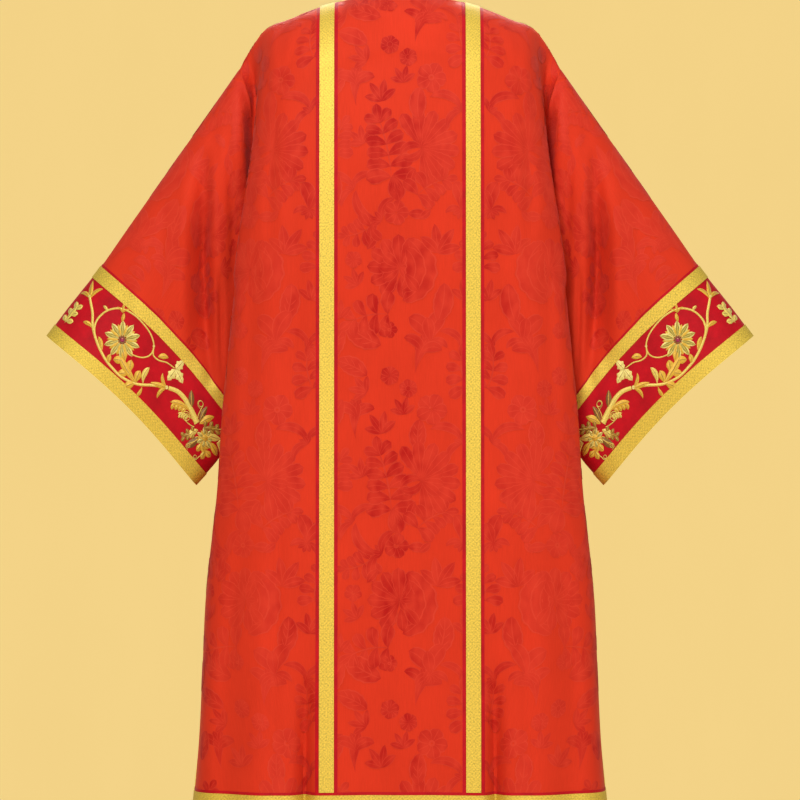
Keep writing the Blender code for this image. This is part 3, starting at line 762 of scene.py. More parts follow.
def laid(flat, strokes, lift, layer, crown):
    """Strokes laid on a cloth: points, faces, places on the cloth and tones of face corners."""
    us, vs, lifts, faces, tones = [], [], [], [], []
    start = 0
    _, _, spots, out = flat
    i, j = spots.shape[0] // 2, spots.shape[1] // 2
    turned = np.cross(spots[i - 1, j] - spots[i, j], spots[i, j + 1] - spots[i, j]) @ out[i, j] < 0
    for order, stroke in enumerate(strokes):
        rows, columns = stroke.u.shape
        numbers = np.arange(rows * columns).reshape(rows, columns) + start
        quads = np.stack([numbers[:-1, :-1], numbers[1:, :-1],
                          numbers[1:, 1:], numbers[:-1, 1:]], axis=-1)
        faces.append(quads.reshape(-1, 4)[:, ::-1 if turned else 1])
        tones.append(np.tile(np.array(stroke.tones), rows - 1))
        us.append(stroke.u.reshape(-1))
        vs.append(stroke.v.reshape(-1))
        apart = order % LAYERS + LAYER_SHIFT * (order // LAYERS * GOLDEN % 1)
        lifts.append((lift + layer * apart + crown * stroke.crown).reshape(-1))
        start += rows * columns
    u = np.concatenate(us)
    v = np.concatenate(vs)
    points, on = on_cloth(flat, u, v, np.concatenate(lifts))
    faces = np.concatenate(faces)
    tones = np.concatenate(tones)
    kept = on[faces].sum(axis=1) >= 3
    faces = faces[kept]
    places = np.stack([u[faces], v[faces]], axis=-1)
    used, fresh = np.unique(faces.reshape(-1), return_inverse=True)
    return points[used], fresh.reshape(-1, 4), places, np.repeat(tones[kept], 4)


# Figures of the damask, each round or above its own root, in metres
def leaf_at(u, v, turn, *size, **shape):
    """One leaf or petal from a root at a place, turned."""
    return placed([blade(*size, **shape)], u, v, turn)


def rib_place(length, bend, s):
    """The place at a share of a bending rib."""
    turn = bend * s
    return length * s * math.sin(turn / 2), length * s * math.cos(turn / 2)


def petals(count, length, width, first=0.0, reach=0.0, spread=None, **shape):
    """Petals or leaves set round a middle, or over a part of a turn."""
    strokes = []
    for k in range(count):
        share = 2 * math.pi * k / count if spread is None else spread * (k / (count - 1) - 0.5)
        turn = first + share
        root = (reach * math.sin(turn), reach * math.cos(turn))
        strokes += leaf_at(*root, turn, length, width, **shape)
    return strokes


def small_rose():
    """A round rose: broad petals that overlap about a bud."""
    strokes = petals(6, 0.0140, 0.0135, 0.2, 0.0008, belly=0.66, full=0.45, steps=6)
    return strokes + [ring(0.0042, 0.0009, 1.0, steps=12), ring(0.0018, 0.0036, 0.0, steps=9)]


def blossom(count=5):
    """A small open flower with round petals that overlap."""
    strokes = petals(count, 0.0150, 0.0150, 0.3, 0.0008, belly=0.62, full=0.5, steps=7)
    return strokes + [ring(0.0022, 0.0022, 1.0, steps=10)]


def peony():
    """A full flower from its side: notched petals to one side, wide curling ones to the other."""
    strokes = leaf_at(0.004, -0.052, 1.20, 0.118, 0.046, -2.2,
                      full=0.6, scallops=7, nick=0.17, steps=24)
    strokes += leaf_at(0.002, -0.036, 1.15, 0.080, 0.036, -2.1,
                       full=0.6, scallops=5, nick=0.15, steps=17)
    strokes += petals(3, 0.036, 0.018, math.pi - 0.1, 0.012, 1.1, belly=0.60, full=0.6, steps=7)
    strokes += petals(7, 0.050, 0.025, -1.05, 0.002, 3.0,
                      belly=0.68, full=0.5, scallops=4, nick=0.12)
    strokes += petals(5, 0.033, 0.018, -0.90, 0.001, 2.6, belly=0.64, full=0.5, steps=7)
    return strokes + petals(5, 0.018, 0.011, 0.5, 0.0, 4.2, belly=0.60, full=0.5, steps=6)


def palmette():
    """A fan of long broad petals over a shorter one, on two curled leaves."""
    strokes = petals(9, 0.068, 0.026, 0.0, 0.0, 3.5,
                     belly=0.72, full=0.5, scallops=5, nick=0.13, steps=14)
    strokes += petals(5, 0.040, 0.018, 0.0, 0.0, 2.1, belly=0.64, full=0.55, steps=7)
    for hand in (-1, 1):
        strokes += leaf_at(0, 0, 2.1 * hand, 0.046, 0.015, 2.1 * hand, steps=9)
    return strokes + petals(3, 0.016, 0.011, 0.0, 0.0, 1.3, belly=0.6, full=0.5, steps=6)


def acanthus(length, width, bend=0.5, lobes=5):
    """A scrolling leaf: pairs of notched lobes that overlap along a bending rib."""
    strokes = []
    for k in range(lobes):
        s = (k + 0.15) / lobes
        size = width * (0.64 - 0.24 * s)
        for hand in (-1, 1):
            turn = bend * s + hand * (1.20 - 0.70 * s)
            strokes += leaf_at(*rib_place(length, bend, s), turn, size, size * 0.66, 0.8 * hand,
                               belly=0.66, full=0.5, scallops=3, nick=0.10, steps=8)
    strokes += leaf_at(*rib_place(length, bend, 0.9), bend * 0.9, width * 0.42, width * 0.26, 0.3,
                       belly=0.6, full=0.6, steps=7)
    return strokes + [blade(length, width * 0.045, bend, tones=(1.0,) * 7, steps=10)]


def spray():
    """A tall lobed leaf over a hanging bud with three ribs."""
    strokes = placed(acanthus(0.100, 0.062, -0.3, 6), 0, 0.016)
    strokes += leaf_at(0.002, 0.022, 2.95, 0.040, 0.027, 0.0, belly=0.58, full=0.6)
    return strokes + placed(petals(3, 0.026, 0.0075, 0.0, 0.0, 0.7, steps=6), 0.002, 0.018, 2.95)


def tulip():
    """A heart-shaped flower: two curling outer petals, a middle one and two leaves below."""
    strokes = []
    for hand in (-1, 1):
        strokes += leaf_at(0, 0, 0.10 * hand, 0.056, 0.029, 1.0 * hand,
                           belly=0.62, full=0.55, steps=10)
        strokes += leaf_at(0, 0, 1.3 * hand, 0.034, 0.013, 1.6 * hand, steps=8)
    strokes.append(blade(0.040, 0.022, 0.0, belly=0.60, full=0.6, scallops=3, nick=0.08))
    return strokes + petals(3, 0.018, 0.010, math.pi, 0.0, 1.5, steps=6)


def trumpet():
    """A flared flower from its side, with a long throat and a curled lip."""
    strokes = [blade(0.062, 0.020, 0.5, belly=0.75, full=0.6, steps=10)]
    for hand, long in ((-1, 0.044), (1, 0.038)):
        strokes += leaf_at(0.008, 0.034, 0.2 + 0.3 * hand, long, 0.019, 1.7 * hand,
                           belly=0.55, full=0.6)
    strokes += placed(petals(3, 0.020, 0.012, 0.5, 0.0, 1.5, full=0.5, steps=6), 0.011, 0.046)
    return strokes


def scroll():
    """Three ribbon leaves that curl away from one root, and a small bud."""
    strokes = [blade(0.078, 0.018, 1.9, belly=0.55, full=0.7, steps=12)]
    strokes += leaf_at(0.002, 0.004, -0.5, 0.060, 0.016, -1.7, belly=0.5, full=0.7)
    strokes += leaf_at(0.000, 0.000, 1.3, 0.048, 0.015, 1.8, belly=0.5, full=0.7)
    return strokes + petals(3, 0.018, 0.009, 0.3, 0.001, 1.3, steps=6)


def broad_leaf():
    """A wide notched leaf with light veins to both sides."""
    strokes = [blade(0.064, 0.037, 0.5, full=0.6, scallops=5, nick=0.10, steps=13)]
    for k in range(3):
        s = 0.22 + 0.2 * k
        x = 0.064 * s * math.sin(0.25 * s)
        for hand in (-1, 1):
            strokes += leaf_at(x, 0.064 * s, 0.5 * s + 0.85 * hand, 0.017, 0.0017, -0.5 * hand,
                               tones=(1.0,) * 7, steps=4)
    return strokes


def cluster(count=4, leaf=0.034):
    """Slender leaves from one stalk, spread like a hand."""
    strokes = []
    for k in range(count):
        share = k / (count - 1) - 0.5
        long = leaf * (1 - 0.5 * abs(share))
        strokes += leaf_at(0, 0, 1.7 * share, long, leaf * 0.34, 0.9 * share, full=0.7, steps=8)
    return strokes


# The damask's repeat: where each figure stands from the small roses' middle, and how it is turned
Figure = namedtuple("Figure", "kind u v turn size flip")
REPEAT_TALL = 0.523
REPEAT_WIDE = 0.246
REPEAT_FIRST = 0.151
FIGURE_REACHES = 0.06
PANEL_LENGTH = 1.32
PANEL_COLUMNS = ((0.0, 1), (REPEAT_WIDE, -1), (-REPEAT_WIDE, 1))
SLEEVE_COLUMNS = ((0.16, -1), (-0.16, 1), (0.0, 1))
SLEEVE_COLUMN_HALF = 0.09
FIGURES = rows_of(Figure, (
    ("small rose", -0.016, 0.008, 0, 1.05, 1),
    ("small rose", 0.013, -0.012, 40, 1.00, 1),
    ("cluster", -0.052, -0.018, -60, 1.00, 1),
    ("broad leaf", -0.052, 0.008, -50, 0.85, -1),
    ("trumpet", 0.024, 0.012, 5, 0.95, 1),
    ("acanthus", 0.108, -0.014, -30, 0.95, 1),
    ("scroll", 0.096, 0.052, 20, 0.80, 1),
    ("broad leaf", -0.114, 0.030, 12, 0.90, 1),
    ("tulip", 0.048, 0.062, -8, 0.95, 1),
    ("broad leaf", -0.030, 0.056, -72, 1.05, 1),
    ("acanthus", -0.016, 0.104, -82, 1.10, -1),
    ("blossom", -0.017, 0.080, 0, 0.85, 1),
    ("cluster", -0.094, 0.098, -20, 0.95, 1),
    ("broad leaf", 0.060, 0.094, 24, 0.95, -1),
    ("cluster", 0.104, 0.126, 10, 1.10, 1),
    ("peony", 0.000, 0.178, 0, 1.00, 1),
    ("blossom", -0.074, 0.190, 20, 0.90, 1),
    ("cluster", -0.066, 0.150, -40, 0.90, 1),
    ("small leaf", -0.052, 0.206, 30, 1.10, 1),
    ("acanthus", 0.112, 0.176, -8, 0.85, 1),
    ("broad leaf", -0.118, 0.182, -16, 0.85, 1),
    ("cluster", 0.060, 0.200, 14, 1.50, 1),
    ("scroll", -0.028, 0.252, -96, 0.95, 1),
    ("acanthus", -0.044, 0.244, -130, 0.80, 1),
    ("blossom", -0.006, 0.264, 0, 1.30, 1),
    ("small leaf", 0.012, 0.262, 86, 1.30, 1),
    ("small leaf", 0.030, 0.254, 60, 1.00, -1),
    ("tulip", 0.098, 0.268, 20, 0.85, 1),
    ("spray", -0.012, 0.300, -4, 1.05, 1),
    ("scroll", -0.074, 0.300, -18, 0.80, -1),
    ("broad leaf", -0.110, 0.268, -6, 0.95, 1),
    ("acanthus", 0.026, 0.290, 42, 0.95, 1),
    ("small leaf", 0.014, 0.304, 10, 1.30, 1),
    ("palmette", 0.034, 0.366, 70, 0.92, 1),
    ("cluster", -0.058, 0.372, -30, 1.00, 1),
    ("acanthus", -0.104, 0.352, -6, 0.90, 1),
    ("broad leaf", 0.030, 0.412, -12, 0.80, 1),
    ("trumpet", -0.070, 0.432, -12, 0.95, 1),
    ("cluster", -0.028, 0.440, -14, 1.15, 1),
    ("blossom", 0.050, 0.478, 10, 1.60, 1),
    ("scroll", 0.100, 0.424, -12, 0.85, -1),
    ("cluster", 0.006, 0.470, -10, 0.90, 1),
    ("broad leaf", -0.110, 0.446, 8, 0.80, 1),
))


def figure_kinds():
    """The damask's figures by name."""
    return {
        "small rose": small_rose(),
        "blossom": blossom(),
        "peony": peony(),
        "palmette": palmette(),
        "tulip": tulip(),
        "trumpet": trumpet(),
        "scroll": scroll(),
        "spray": spray(),
        "cluster": cluster(),
        "acanthus": acanthus(0.062, 0.054, 0.7, 4),
        "broad leaf": broad_leaf(),
        "small leaf": [blade(0.024, 0.013, 0.3, steps=7)],
    }


def damask_strokes(columns, first, last, clip=None):
    """The damask's figures on a cloth, in columns at places across it and between two heights."""
    kinds = figure_kinds()
    strokes = []
    for middle, flip in columns:
        base = REPEAT_FIRST - REPEAT_TALL
        while base < last:
            for figure in FIGURES:
                v = base + figure.v
                u = middle + flip * figure.u
                if first - FIGURE_REACHES < v < last + FIGURE_REACHES:
                    turn = flip * math.radians(figure.turn)
                    made = placed(kinds[figure.kind], u, v, turn, figure.size, figure.flip * flip)
                    strokes += [stroke for stroke in made if clip is None or clip(stroke, middle)]
            base += REPEAT_TALL
    return strokes


def beside_clavi(stroke, middle):
    """Whether a stroke lies on its own side of the clavi, which cover the joins of the figure."""
    inside = float(np.abs(stroke.u).mean()) < CLAVUS_MIDDLE
    return inside == (abs(middle) < CLAVUS_MIDDLE)


def in_column(stroke, middle):
    """Whether a stroke lies in its own column of a sleeve's figure."""
    return abs(float(stroke.u.mean()) - middle) < SLEEVE_COLUMN_HALF


# The embroidered band: places run along it from the sleeve's upper fold and down from its top,
# in millimetres
Stem = namedtuple("Stem", "places width taper tone")
STEMS = rows_of(Stem, (
    (((24, 27), (40, 44), (55, 61), (78, 77), (100, 87), (118, 91), (142, 92), (168, 83), (190,
     66), (209, 53)), 4.2, 1.0, 0.28),
    (((212, 51), (227, 44), (243, 43), (262, 47), (284, 54)), 6.0, 1.7, 0.28),
    (((70, 73), (58, 60), (54, 44), (59, 25), (74, 10), (96, 4), (118, 5), (138, 10), (152, 20),
     (156, 34), (149, 46), (136, 53), (124, 54)), 3.6, 0.55, 0.28),
    (((152, 20), (160, 31), (172, 31), (185, 24), (200, 21)), 2.8, 0.7, 0.28),
))
Leaf = namedtuple("Leaf", "kind s t turn length width bend tone")
LEAVES = rows_of(Leaf, (
    ("lobed", 19, 86, -4, 38, 26, 0.15, 0.28),
    ("tulip", 27, 30, -40, 34, 26, 1.3, 0.0),
    ("hook", 58, 64, -62, 22, 7, -1.1, 0.0),
    ("hook", 92, 84, -30, 26, 7, -0.7, 0.0),
    ("hook", 60, 28, -50, 13, 5, -0.9, 0.28),
    ("tulip", 80, 14, -28, 17, 13, 1.3, 0.0),
    ("plain", 82, 12, 150, 15, 6, 0.2, 0.0),
    ("hook", 112, 92, -35, 17, 8, 0.3, 0.0),
    ("lobed", 170, 84, -84, 56, 34, 0.35, 0.0),
    ("hook", 176, 77, -52, 30, 9, 1.2, 0.28),
    ("hook", 176, 80, 150, 19, 6, 0.8, 0.0),
    ("tulip", 210, 53, -116, 30, 24, 1.3, 0.0),
    ("plain", 168, 28, 28, 19, 9, 0.8, 0.0),
    ("notched", 203, 21, 4, 21, 16, 0.1, 0.42),
    ("notched", 203, 21, 104, 24, 17, 0.1, 0.42),
    ("notched", 203, 21, 182, 23, 16, -0.1, 0.42),
    ("plain", 262, 44, -48, 27, 11, 0.2, 0.70),
    ("plume", 274, 51, -78, 50, 15, -1.0, 0.0),
    ("plume", 276, 56, -96, 30, 9, -0.6, 0.28),
    ("plain", 286, 50, -20, 30, 10, 0.4, 0.70),
    ("plain", 288, 52, 12, 32, 11, 0.4, 0.0),
    ("plain", 292, 60, -150, 26, 11, -0.5, 0.28),
    ("lobed", 296, 52, 40, 30, 22, 0.3, 0.62),
    ("lobed", 298, 62, 126, 34, 26, -0.3, 0.0),
    ("plain", 300, 66, -178, 30, 12, 0.5, 0.70),
    ("plain", 302, 56, 72, 34, 12, -0.4, 0.28),
    ("lobed", 292, 66, -138, 26, 18, -0.3, 0.62),
    ("plain", 320, 58, 92, 26, 11, 0.4, 0.0),
    ("tulip", 330, 50, 60, 24, 20, 1.2, 0.28),
))
Tendril = namedtuple("Tendril", "s t turn length turns start")
TENDRILS = rows_of(Tendril, (
    (284, 62, -122, 100, 1.6, 0.24),
    (280, 48, -34, 96, -1.6, 0.24),
    (300, 72, -176, 46, -1.3, 0.40),
    (310, 40, 24, 46, 1.3, 0.40),
    (322, 76, 168, 40, 1.2, 0.40),
))
BAND_TURN = 18.0
BAND_TURN_END = 40.0
TENDRIL_WIDTH = 0.0016
TENDRIL_TONE = 0.28
SILKS = (
    (0.28, (0.86, 0.66, 0.12)), (0.42, (0.86, 0.72, 0.20)), (0.53, (0.34, 0.26, 0.02)),
    (0.62, (0.36, 0.18, 0.01)), (0.72, (0.22, 0.09, 0.01)), (1.00, (0.36, 0.0, 0.07)))
THREAD = 0.0007
THREAD_LAYER = 0.00006
BAND_NODES = ((209, 53, 3.2), (152, 20, 2.2), (24, 27, 2.4))
ROSETTES = ((106, 47, 30.0, 10), (310, 60, 17.0, 7))


def on_band(s, t):
    """A place on the embroidered band, in metres along it and up from the cuff's edge."""
    return (s + BAND_TURN * min(1.0, s / BAND_TURN_END)) / 1000, CUFF_BAND - t / 1000


def rosette(radius, count):
    """A flower of pointed petals in two rounds, with a jewel at its middle and a painted highlight
    on the jewel.
    """
    tones = (0.42, 0.42, 0.53, 0.28, 0.53, 0.42, 0.42)
    outer = petals(count, radius * 0.84, radius * 0.44, 0.0, radius * 0.18, full=1.0, belly=0.50,
                   scallops=3, nick=0.22, tones=tones)
    inner = petals(count, radius * 0.62, radius * 0.20, math.pi / count, radius * 0.22,
                   tones=(0.0,) * 7)
    middle = [ring(radius * 0.16, radius * 0.08, 0.70, steps=16),
              ring(radius * 0.06, radius * 0.13, 1.0, steps=14)]
    # A small pale dot off the jewel's middle: a painted highlight on the jewel
    light = [ring(radius * 0.02, radius * 0.04, 0.42, steps=8)]
    return inner + outer + middle + placed(light, -radius * 0.03, radius * 0.05)


def leaf_strokes(leaf):
    """The strokes of one embroidered leaf, bud or flower."""
    length = leaf.length / 1000
    width = leaf.width / 1000
    rib = 0.70 if leaf.tone < 0.6 else 0.0
    tones = (leaf.tone,) * 3 + (rib,) + (leaf.tone,) * 3
    strokes = []
    if leaf.kind == "lobed":
        for k in range(3):
            s = (k + 0.3) / 3.2
            for hand in (-1, 1):
                strokes += leaf_at(length * s * math.sin(leaf.bend * s), length * s,
                                   hand * (0.95 - 0.25 * k), width * 0.60, width * 0.36,
                                   0.4 * hand, belly=0.6, tones=tones, steps=8)
        return strokes + [blade(length, width * 0.34, leaf.bend, belly=0.6, tones=tones)]
    if leaf.kind == "tulip":
        for hand in (-1, 1):
            strokes += leaf_at(0, 0, 0.35 * hand, length * 0.85, width * 0.26, leaf.bend * hand,
                               belly=0.5, tones=tones)
        return strokes + [blade(length, width * 0.34, 0.0, belly=0.45, tones=tones)]
    if leaf.kind == "plume":
        for k in range(4):
            s = 0.35 + 0.15 * k
            strokes += leaf_at(*rib_place(length, leaf.bend, s), leaf.bend * s - 0.8,
                               width * 0.9, width * 0.45, -0.8, belly=0.6, tones=tones, steps=7)
        return strokes + [blade(length, width * 0.6, leaf.bend, belly=0.7, tones=tones, steps=12)]
    if leaf.kind == "notched":
        return [blade(length, width, leaf.bend, 0.45, 0.9, scallops=3, nick=0.30, steps=14,
                      tones=tones)]
    belly = 0.5 if leaf.kind == "plain" else 0.62
    return [blade(length, width, leaf.bend, belly=belly, tones=tones)]


def embroidery_strokes():
    """Every stroke of the embroidered band, on its back half and, mirrored, on its front half."""
    strokes = []
    for stem in STEMS:
        line = [on_band(s, t) for s, t in stem.places]
        strokes.append(cord(line, stem.width / 1000, stem.taper, stem.tone))
    for leaf in LEAVES:
        u, v = on_band(leaf.s, leaf.t)
        strokes += placed(leaf_strokes(leaf), u, v, math.radians(leaf.turn))
    for one in TENDRILS:
        wound = tendril(one.length / 1000, TENDRIL_WIDTH, one.turns, one.start, TENDRIL_TONE)
        strokes += placed([wound], *on_band(one.s, one.t), math.radians(one.turn))
    for s, t, radius, count in ROSETTES:
        strokes += placed(rosette(radius / 1000, count), *on_band(s, t))
    for s, t, radius in BAND_NODES:
        strokes += placed([ring(radius / 2000, radius / 1000, 0.42, steps=12)], *on_band(s, t))
    return strokes + placed(strokes, 0, 0, 0.0, 1.0, -1)


# Meshes
def wall_of(cloth, low, high, rows=None, columns=None):
    """A closed wall over a part of a cloth, between two distances from it."""
    first, last = rows if rows else (0, len(cloth.points) - 1)
    left, right = columns if columns else (0, cloth.points.shape[1] - 1)
    part = (slice(first, last + 1), slice(left, right + 1))
    points = cloth.points[part]
    out = cloth.out[part]
    numbers = np.arange(points.shape[0] * points.shape[1]).reshape(points.shape[:2])
    across = cloth.across[part]
    along = cloth.along[part]
    if cloth.closed:
        numbers = np.concatenate([numbers, numbers[:, :1]], axis=1)
        across = cloth.across[first:last + 1]
        along = np.concatenate([along, along[:, :1]], axis=1)
    count = points.shape[0] * points.shape[1]
    spots = np.stack([across, along], axis=-1)

    def corners(grid):
        return [grid[:-1, :-1], grid[:-1, 1:], grid[1:, 1:], grid[1:, :-1]]

    a, b, c, d = [corner.reshape(-1) for corner in corners(numbers)]
    pa, pb, pc, pd = [corner.reshape(-1, 2) for corner in corners(spots)]
    faces = [np.stack([a, b, c, d], axis=1), np.stack([a, d, c, b], axis=1) + count]
    places = [np.stack([pa, pb, pc, pd], axis=1), np.stack([pa, pd, pc, pb], axis=1)]

    def rim(line, spot):
        faces.append(np.stack([line[:-1], line[:-1] + count, line[1:] + count, line[1:]], axis=1))
        places.append(np.stack([spot[:-1], spot[:-1], spot[1:], spot[1:]], axis=1))

    rim(numbers[0], spots[0])
    rim(numbers[-1][::-1], spots[-1][::-1])
    if not cloth.closed:
        rim(numbers[::-1, 0], spots[::-1, 0])
        rim(numbers[:, -1], spots[:, -1])
    both = np.concatenate([(points + out * level).reshape(-1, 3) for level in (high, low)])
    return both, np.concatenate(faces), np.concatenate(places), None


def other_side(made):
    """A piece's arrays on the other side of the body, its faces still turned outwards."""
    points, faces, places, tones = made
    if tones is not None:
        tones = tones.reshape(-1, 4)[:, ::-1].reshape(-1)
    return mirrored(points), faces[:, ::-1], places[:, ::-1], tones


def piece_of(name, made, finish, nodes=()):
    """An object from a piece's arrays, with its places on the cloth as a UV map."""
    points, faces, places, tones = made
    mesh = bpy.data.meshes.new(name)
    mesh.from_pydata(points.tolist(), [], faces.tolist())
    layer = mesh.uv_layers.new(name="cloth")
    layer.data.foreach_set("uv", np.ascontiguousarray(places, dtype=np.float32).reshape(-1))
    if tones is not None:
        tone = mesh.attributes.new("tone", "FLOAT", "CORNER")
        tone.data.foreach_set("value", np.ascontiguousarray(tones, dtype=np.float32))
    mesh.shade_smooth()
    mesh.set_sharp_from_angle(angle=math.radians(50))
    mesh.materials.append(finish)
    piece = bpy.data.objects.new(name, mesh)
    bpy.context.scene.collection.objects.link(piece)
    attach(piece, "root")
    if nodes:
        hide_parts(*nodes)
    return piece


# Finishes. A colour mix has its share, its two colours and its result at these sockets.
MIX_SOCKETS = (0, 6, 7)
MIX_RESULT = 2


def start_finish(name):
    """A new material with its shader and the cloth's own lengths as a vector."""
    finish = bpy.data.materials.new(name)
    finish.use_nodes = True
    tree = finish.node_tree
    shader = tree.nodes["Principled BSDF"]
    place = tree.nodes.new("ShaderNodeUVMap")
    place.uv_map = "cloth"
    return finish, tree, shader, place.outputs["UV"]


def sized(tree, vector, across, along, turn=0.0):
    """The place on the cloth, in repeats of a size."""
    mapping = tree.nodes.new("ShaderNodeMapping")
    mapping.inputs["Scale"].default_value = (1 / across, 1 / along, 1)
    mapping.inputs["Rotation"].default_value = (0, 0, turn)
    tree.links.new(vector, mapping.inputs["Vector"])
    return mapping.outputs["Vector"]


def speckle(tree, vector, detail=2.0, rough=0.5):
    """A soft noise at one repeat's size."""
    noise = tree.nodes.new("ShaderNodeTexNoise")
    noise.inputs["Scale"].default_value = 1.0
    noise.inputs["Detail"].default_value = detail
    noise.inputs["Roughness"].default_value = rough
    tree.links.new(vector, noise.inputs["Vector"])
    return noise.outputs["Fac"]


def threads(tree, vector, direction="X"):
    """Even threads, one for each repeat."""
    wave = tree.nodes.new("ShaderNodeTexWave")
    wave.bands_direction = direction
    wave.inputs["Scale"].default_value = math.pi / 10
    wave.inputs["Distortion"].default_value = 0.0
    tree.links.new(vector, wave.inputs["Vector"])
    return wave.outputs["Fac"]


def feed(tree, value, socket):
    """Sets a socket to a number or a colour, or links it."""
    if isinstance(value, (int, float)):
        socket.default_value = value
    elif isinstance(value, tuple):
        socket.default_value = (*value, 1.0)
    else:
        tree.links.new(value, socket)


def math_of(tree, operation, a, b):
    """One sum of two values, each a number or a socket."""
    node = tree.nodes.new("ShaderNodeMath")
    node.operation = operation
    for value, socket in zip((a, b), node.inputs):
        feed(tree, value, socket)
    return node.outputs["Value"]


def weighed(tree, *parts):
    """A sum of values, each times its weight."""
    total = None
    for value, weight in parts:
        part = math_of(tree, "MULTIPLY", value, weight)
        total = part if total is None else math_of(tree, "ADD", total, part)
    return total


def ramp(tree, value, stops):
    """Colours between stops, each a place and a colour."""
    node = tree.nodes.new("ShaderNodeValToRGB")
    elements = node.color_ramp.elements
    while len(elements) < len(stops):
        elements.new(0.5)
    for element, (place, colour) in zip(elements, stops):
        element.position = place
        element.color = (*colour, 1.0)
    tree.links.new(value, node.inputs["Fac"])
    return node.outputs["Color"]


def mixed(tree, share, a, b, blend="MIX"):
    """Two colours mixed by a share."""
    node = tree.nodes.new("ShaderNodeMix")
    node.data_type = "RGBA"
    node.blend_type = blend
    for value, socket in zip((share, a, b), MIX_SOCKETS):
        feed(tree, value, node.inputs[socket])
    return node.outputs[MIX_RESULT]


def bumped(tree, shader, height, depth, strength=1.0):
    """Raises a finish by a height between 0 and 1, of a depth in metres."""
    bump = tree.nodes.new("ShaderNodeBump")
    bump.inputs["Strength"].default_value = strength
    bump.inputs["Distance"].default_value = depth
    tree.links.new(height, bump.inputs["Height"])
    tree.links.new(bump.outputs["Normal"], shader.inputs["Normal"])


def surfaced(tree, shader, base, **values):
    """Links a finish's base colour and sets its shader's values, named with underscores."""
    tree.links.new(base, shader.inputs["Base Color"])
    for name, value in values.items():
        shader.inputs[name.replace("_", " ")].default_value = value


def shaded(colour, share):
    """A colour made lighter or darker."""
    return tuple(min(1.0, value * share) for value in colour)


def across_cloth(tree, vector, table, reach):
    """A value by the distance across the cloth, from a table of distances and values."""
    split = tree.nodes.new("ShaderNodeSeparateXYZ")
    tree.links.new(vector, split.inputs["Vector"])
    share = math_of(tree, "ADD", math_of(tree, "DIVIDE", split.outputs["X"], 2 * reach), 0.5)
    return ramp(tree, share, [((place / reach + 1) / 2, (value,) * 3) for place, value in table])


def damask_ground(colour, thread):
    """The satin ground of the damask: smooth, with fine warp threads and slow uneven shade."""
    finish, tree, shader, place = start_finish("damask ground")
    slow = speckle(tree, sized(tree, place, 0.09, 0.16), 3.0, 0.55)
    slub = speckle(tree, sized(tree, place, 0.0016, 0.030), 2.0, 0.6)
    shade = weighed(tree, (slow, 0.6), (slub, 0.4))
    base = ramp(tree, shade, ((0.30, shaded(colour, 0.90)), (0.70, shaded(colour, 1.08))))
    warp = threads(tree, sized(tree, place, thread, thread), "X")
    weft = threads(tree, sized(tree, place, thread * 5, thread * 1.6, 0.5), "Y")
    bumped(tree, shader, weighed(tree, (warp, 0.6), (weft, 0.4)), thread * 0.12, 0.35)
    surfaced(tree, shader, base, Roughness=0.52, Specular_IOR_Level=0.14,
             Specular_Tint=(1.0, 0.30, 0.20, 1.0), Sheen_Weight=0.10, Sheen_Roughness=0.4,
             Sheen_Tint=(1.0, 0.25, 0.15, 1.0))
    return finish


def damask_figure(ground, colour, line, thread, table):
    """The woven figure of the damask: duller than its ground, with lighter outlines and ribs, and
    painted sheen setting how strongly it shows across the cloth.
    """
    finish, tree, shader, place = start_finish("damask figure")
    tone = tree.nodes.new("ShaderNodeAttribute")
    tone.attribute_name = "tone"
    twill = threads(tree, sized(tree, place, thread * 2.2, thread * 2.2, 0.8), "X")
    slow = speckle(tree, sized(tree, place, 0.07, 0.16), 2.0, 0.5)
    slow = math_of(tree, "ADD", math_of(tree, "MULTIPLY", slow, 1.1), 0.25)
    # Painted sheen: how strongly the figure shows is set by its place across the cloth, times a
    # slow noise
    painted_sheen_share = math_of(tree, "MULTIPLY", across_cloth(tree, place, table, FIGURE_REACH), slow)
    patch = ramp(tree, speckle(tree, sized(tree, place, 0.016, 0.026), 1.0, 0.5), PATCHES)
    base = mixed(tree, math_of(tree, "MULTIPLY", painted_sheen_share, patch), ground, colour)
    base = mixed(tree, math_of(tree, "MULTIPLY", tone.outputs["Fac"], 0.50), base, line)
    bumped(tree, shader, twill, thread * 0.2, 0.4)
    surfaced(tree, shader, base, Roughness=0.62, Specular_IOR_Level=0.12, Sheen_Weight=0.05,
             Sheen_Roughness=0.5)
    return finish


def crimson_ground(colour, name="crimson ground"):
    """The crimson ribbon under the gold, with fine ribs."""
    finish, tree, shader, place = start_finish(name)
    slow = speckle(tree, sized(tree, place, 0.03, 0.03), 3.0, 0.6)
    base = ramp(tree, slow, ((0.30, shaded(colour, 0.82)), (0.70, shaded(colour, 1.15))))
    ribs = threads(tree, sized(tree, place, 0.0009, 0.0009), "Y")
    bumped(tree, shader, ribs, 0.00012, 0.5)
    surfaced(tree, shader, base, Roughness=0.55, Specular_IOR_Level=0.12, Sheen_Weight=0.05,
             Sheen_Roughness=0.45)
    return finish


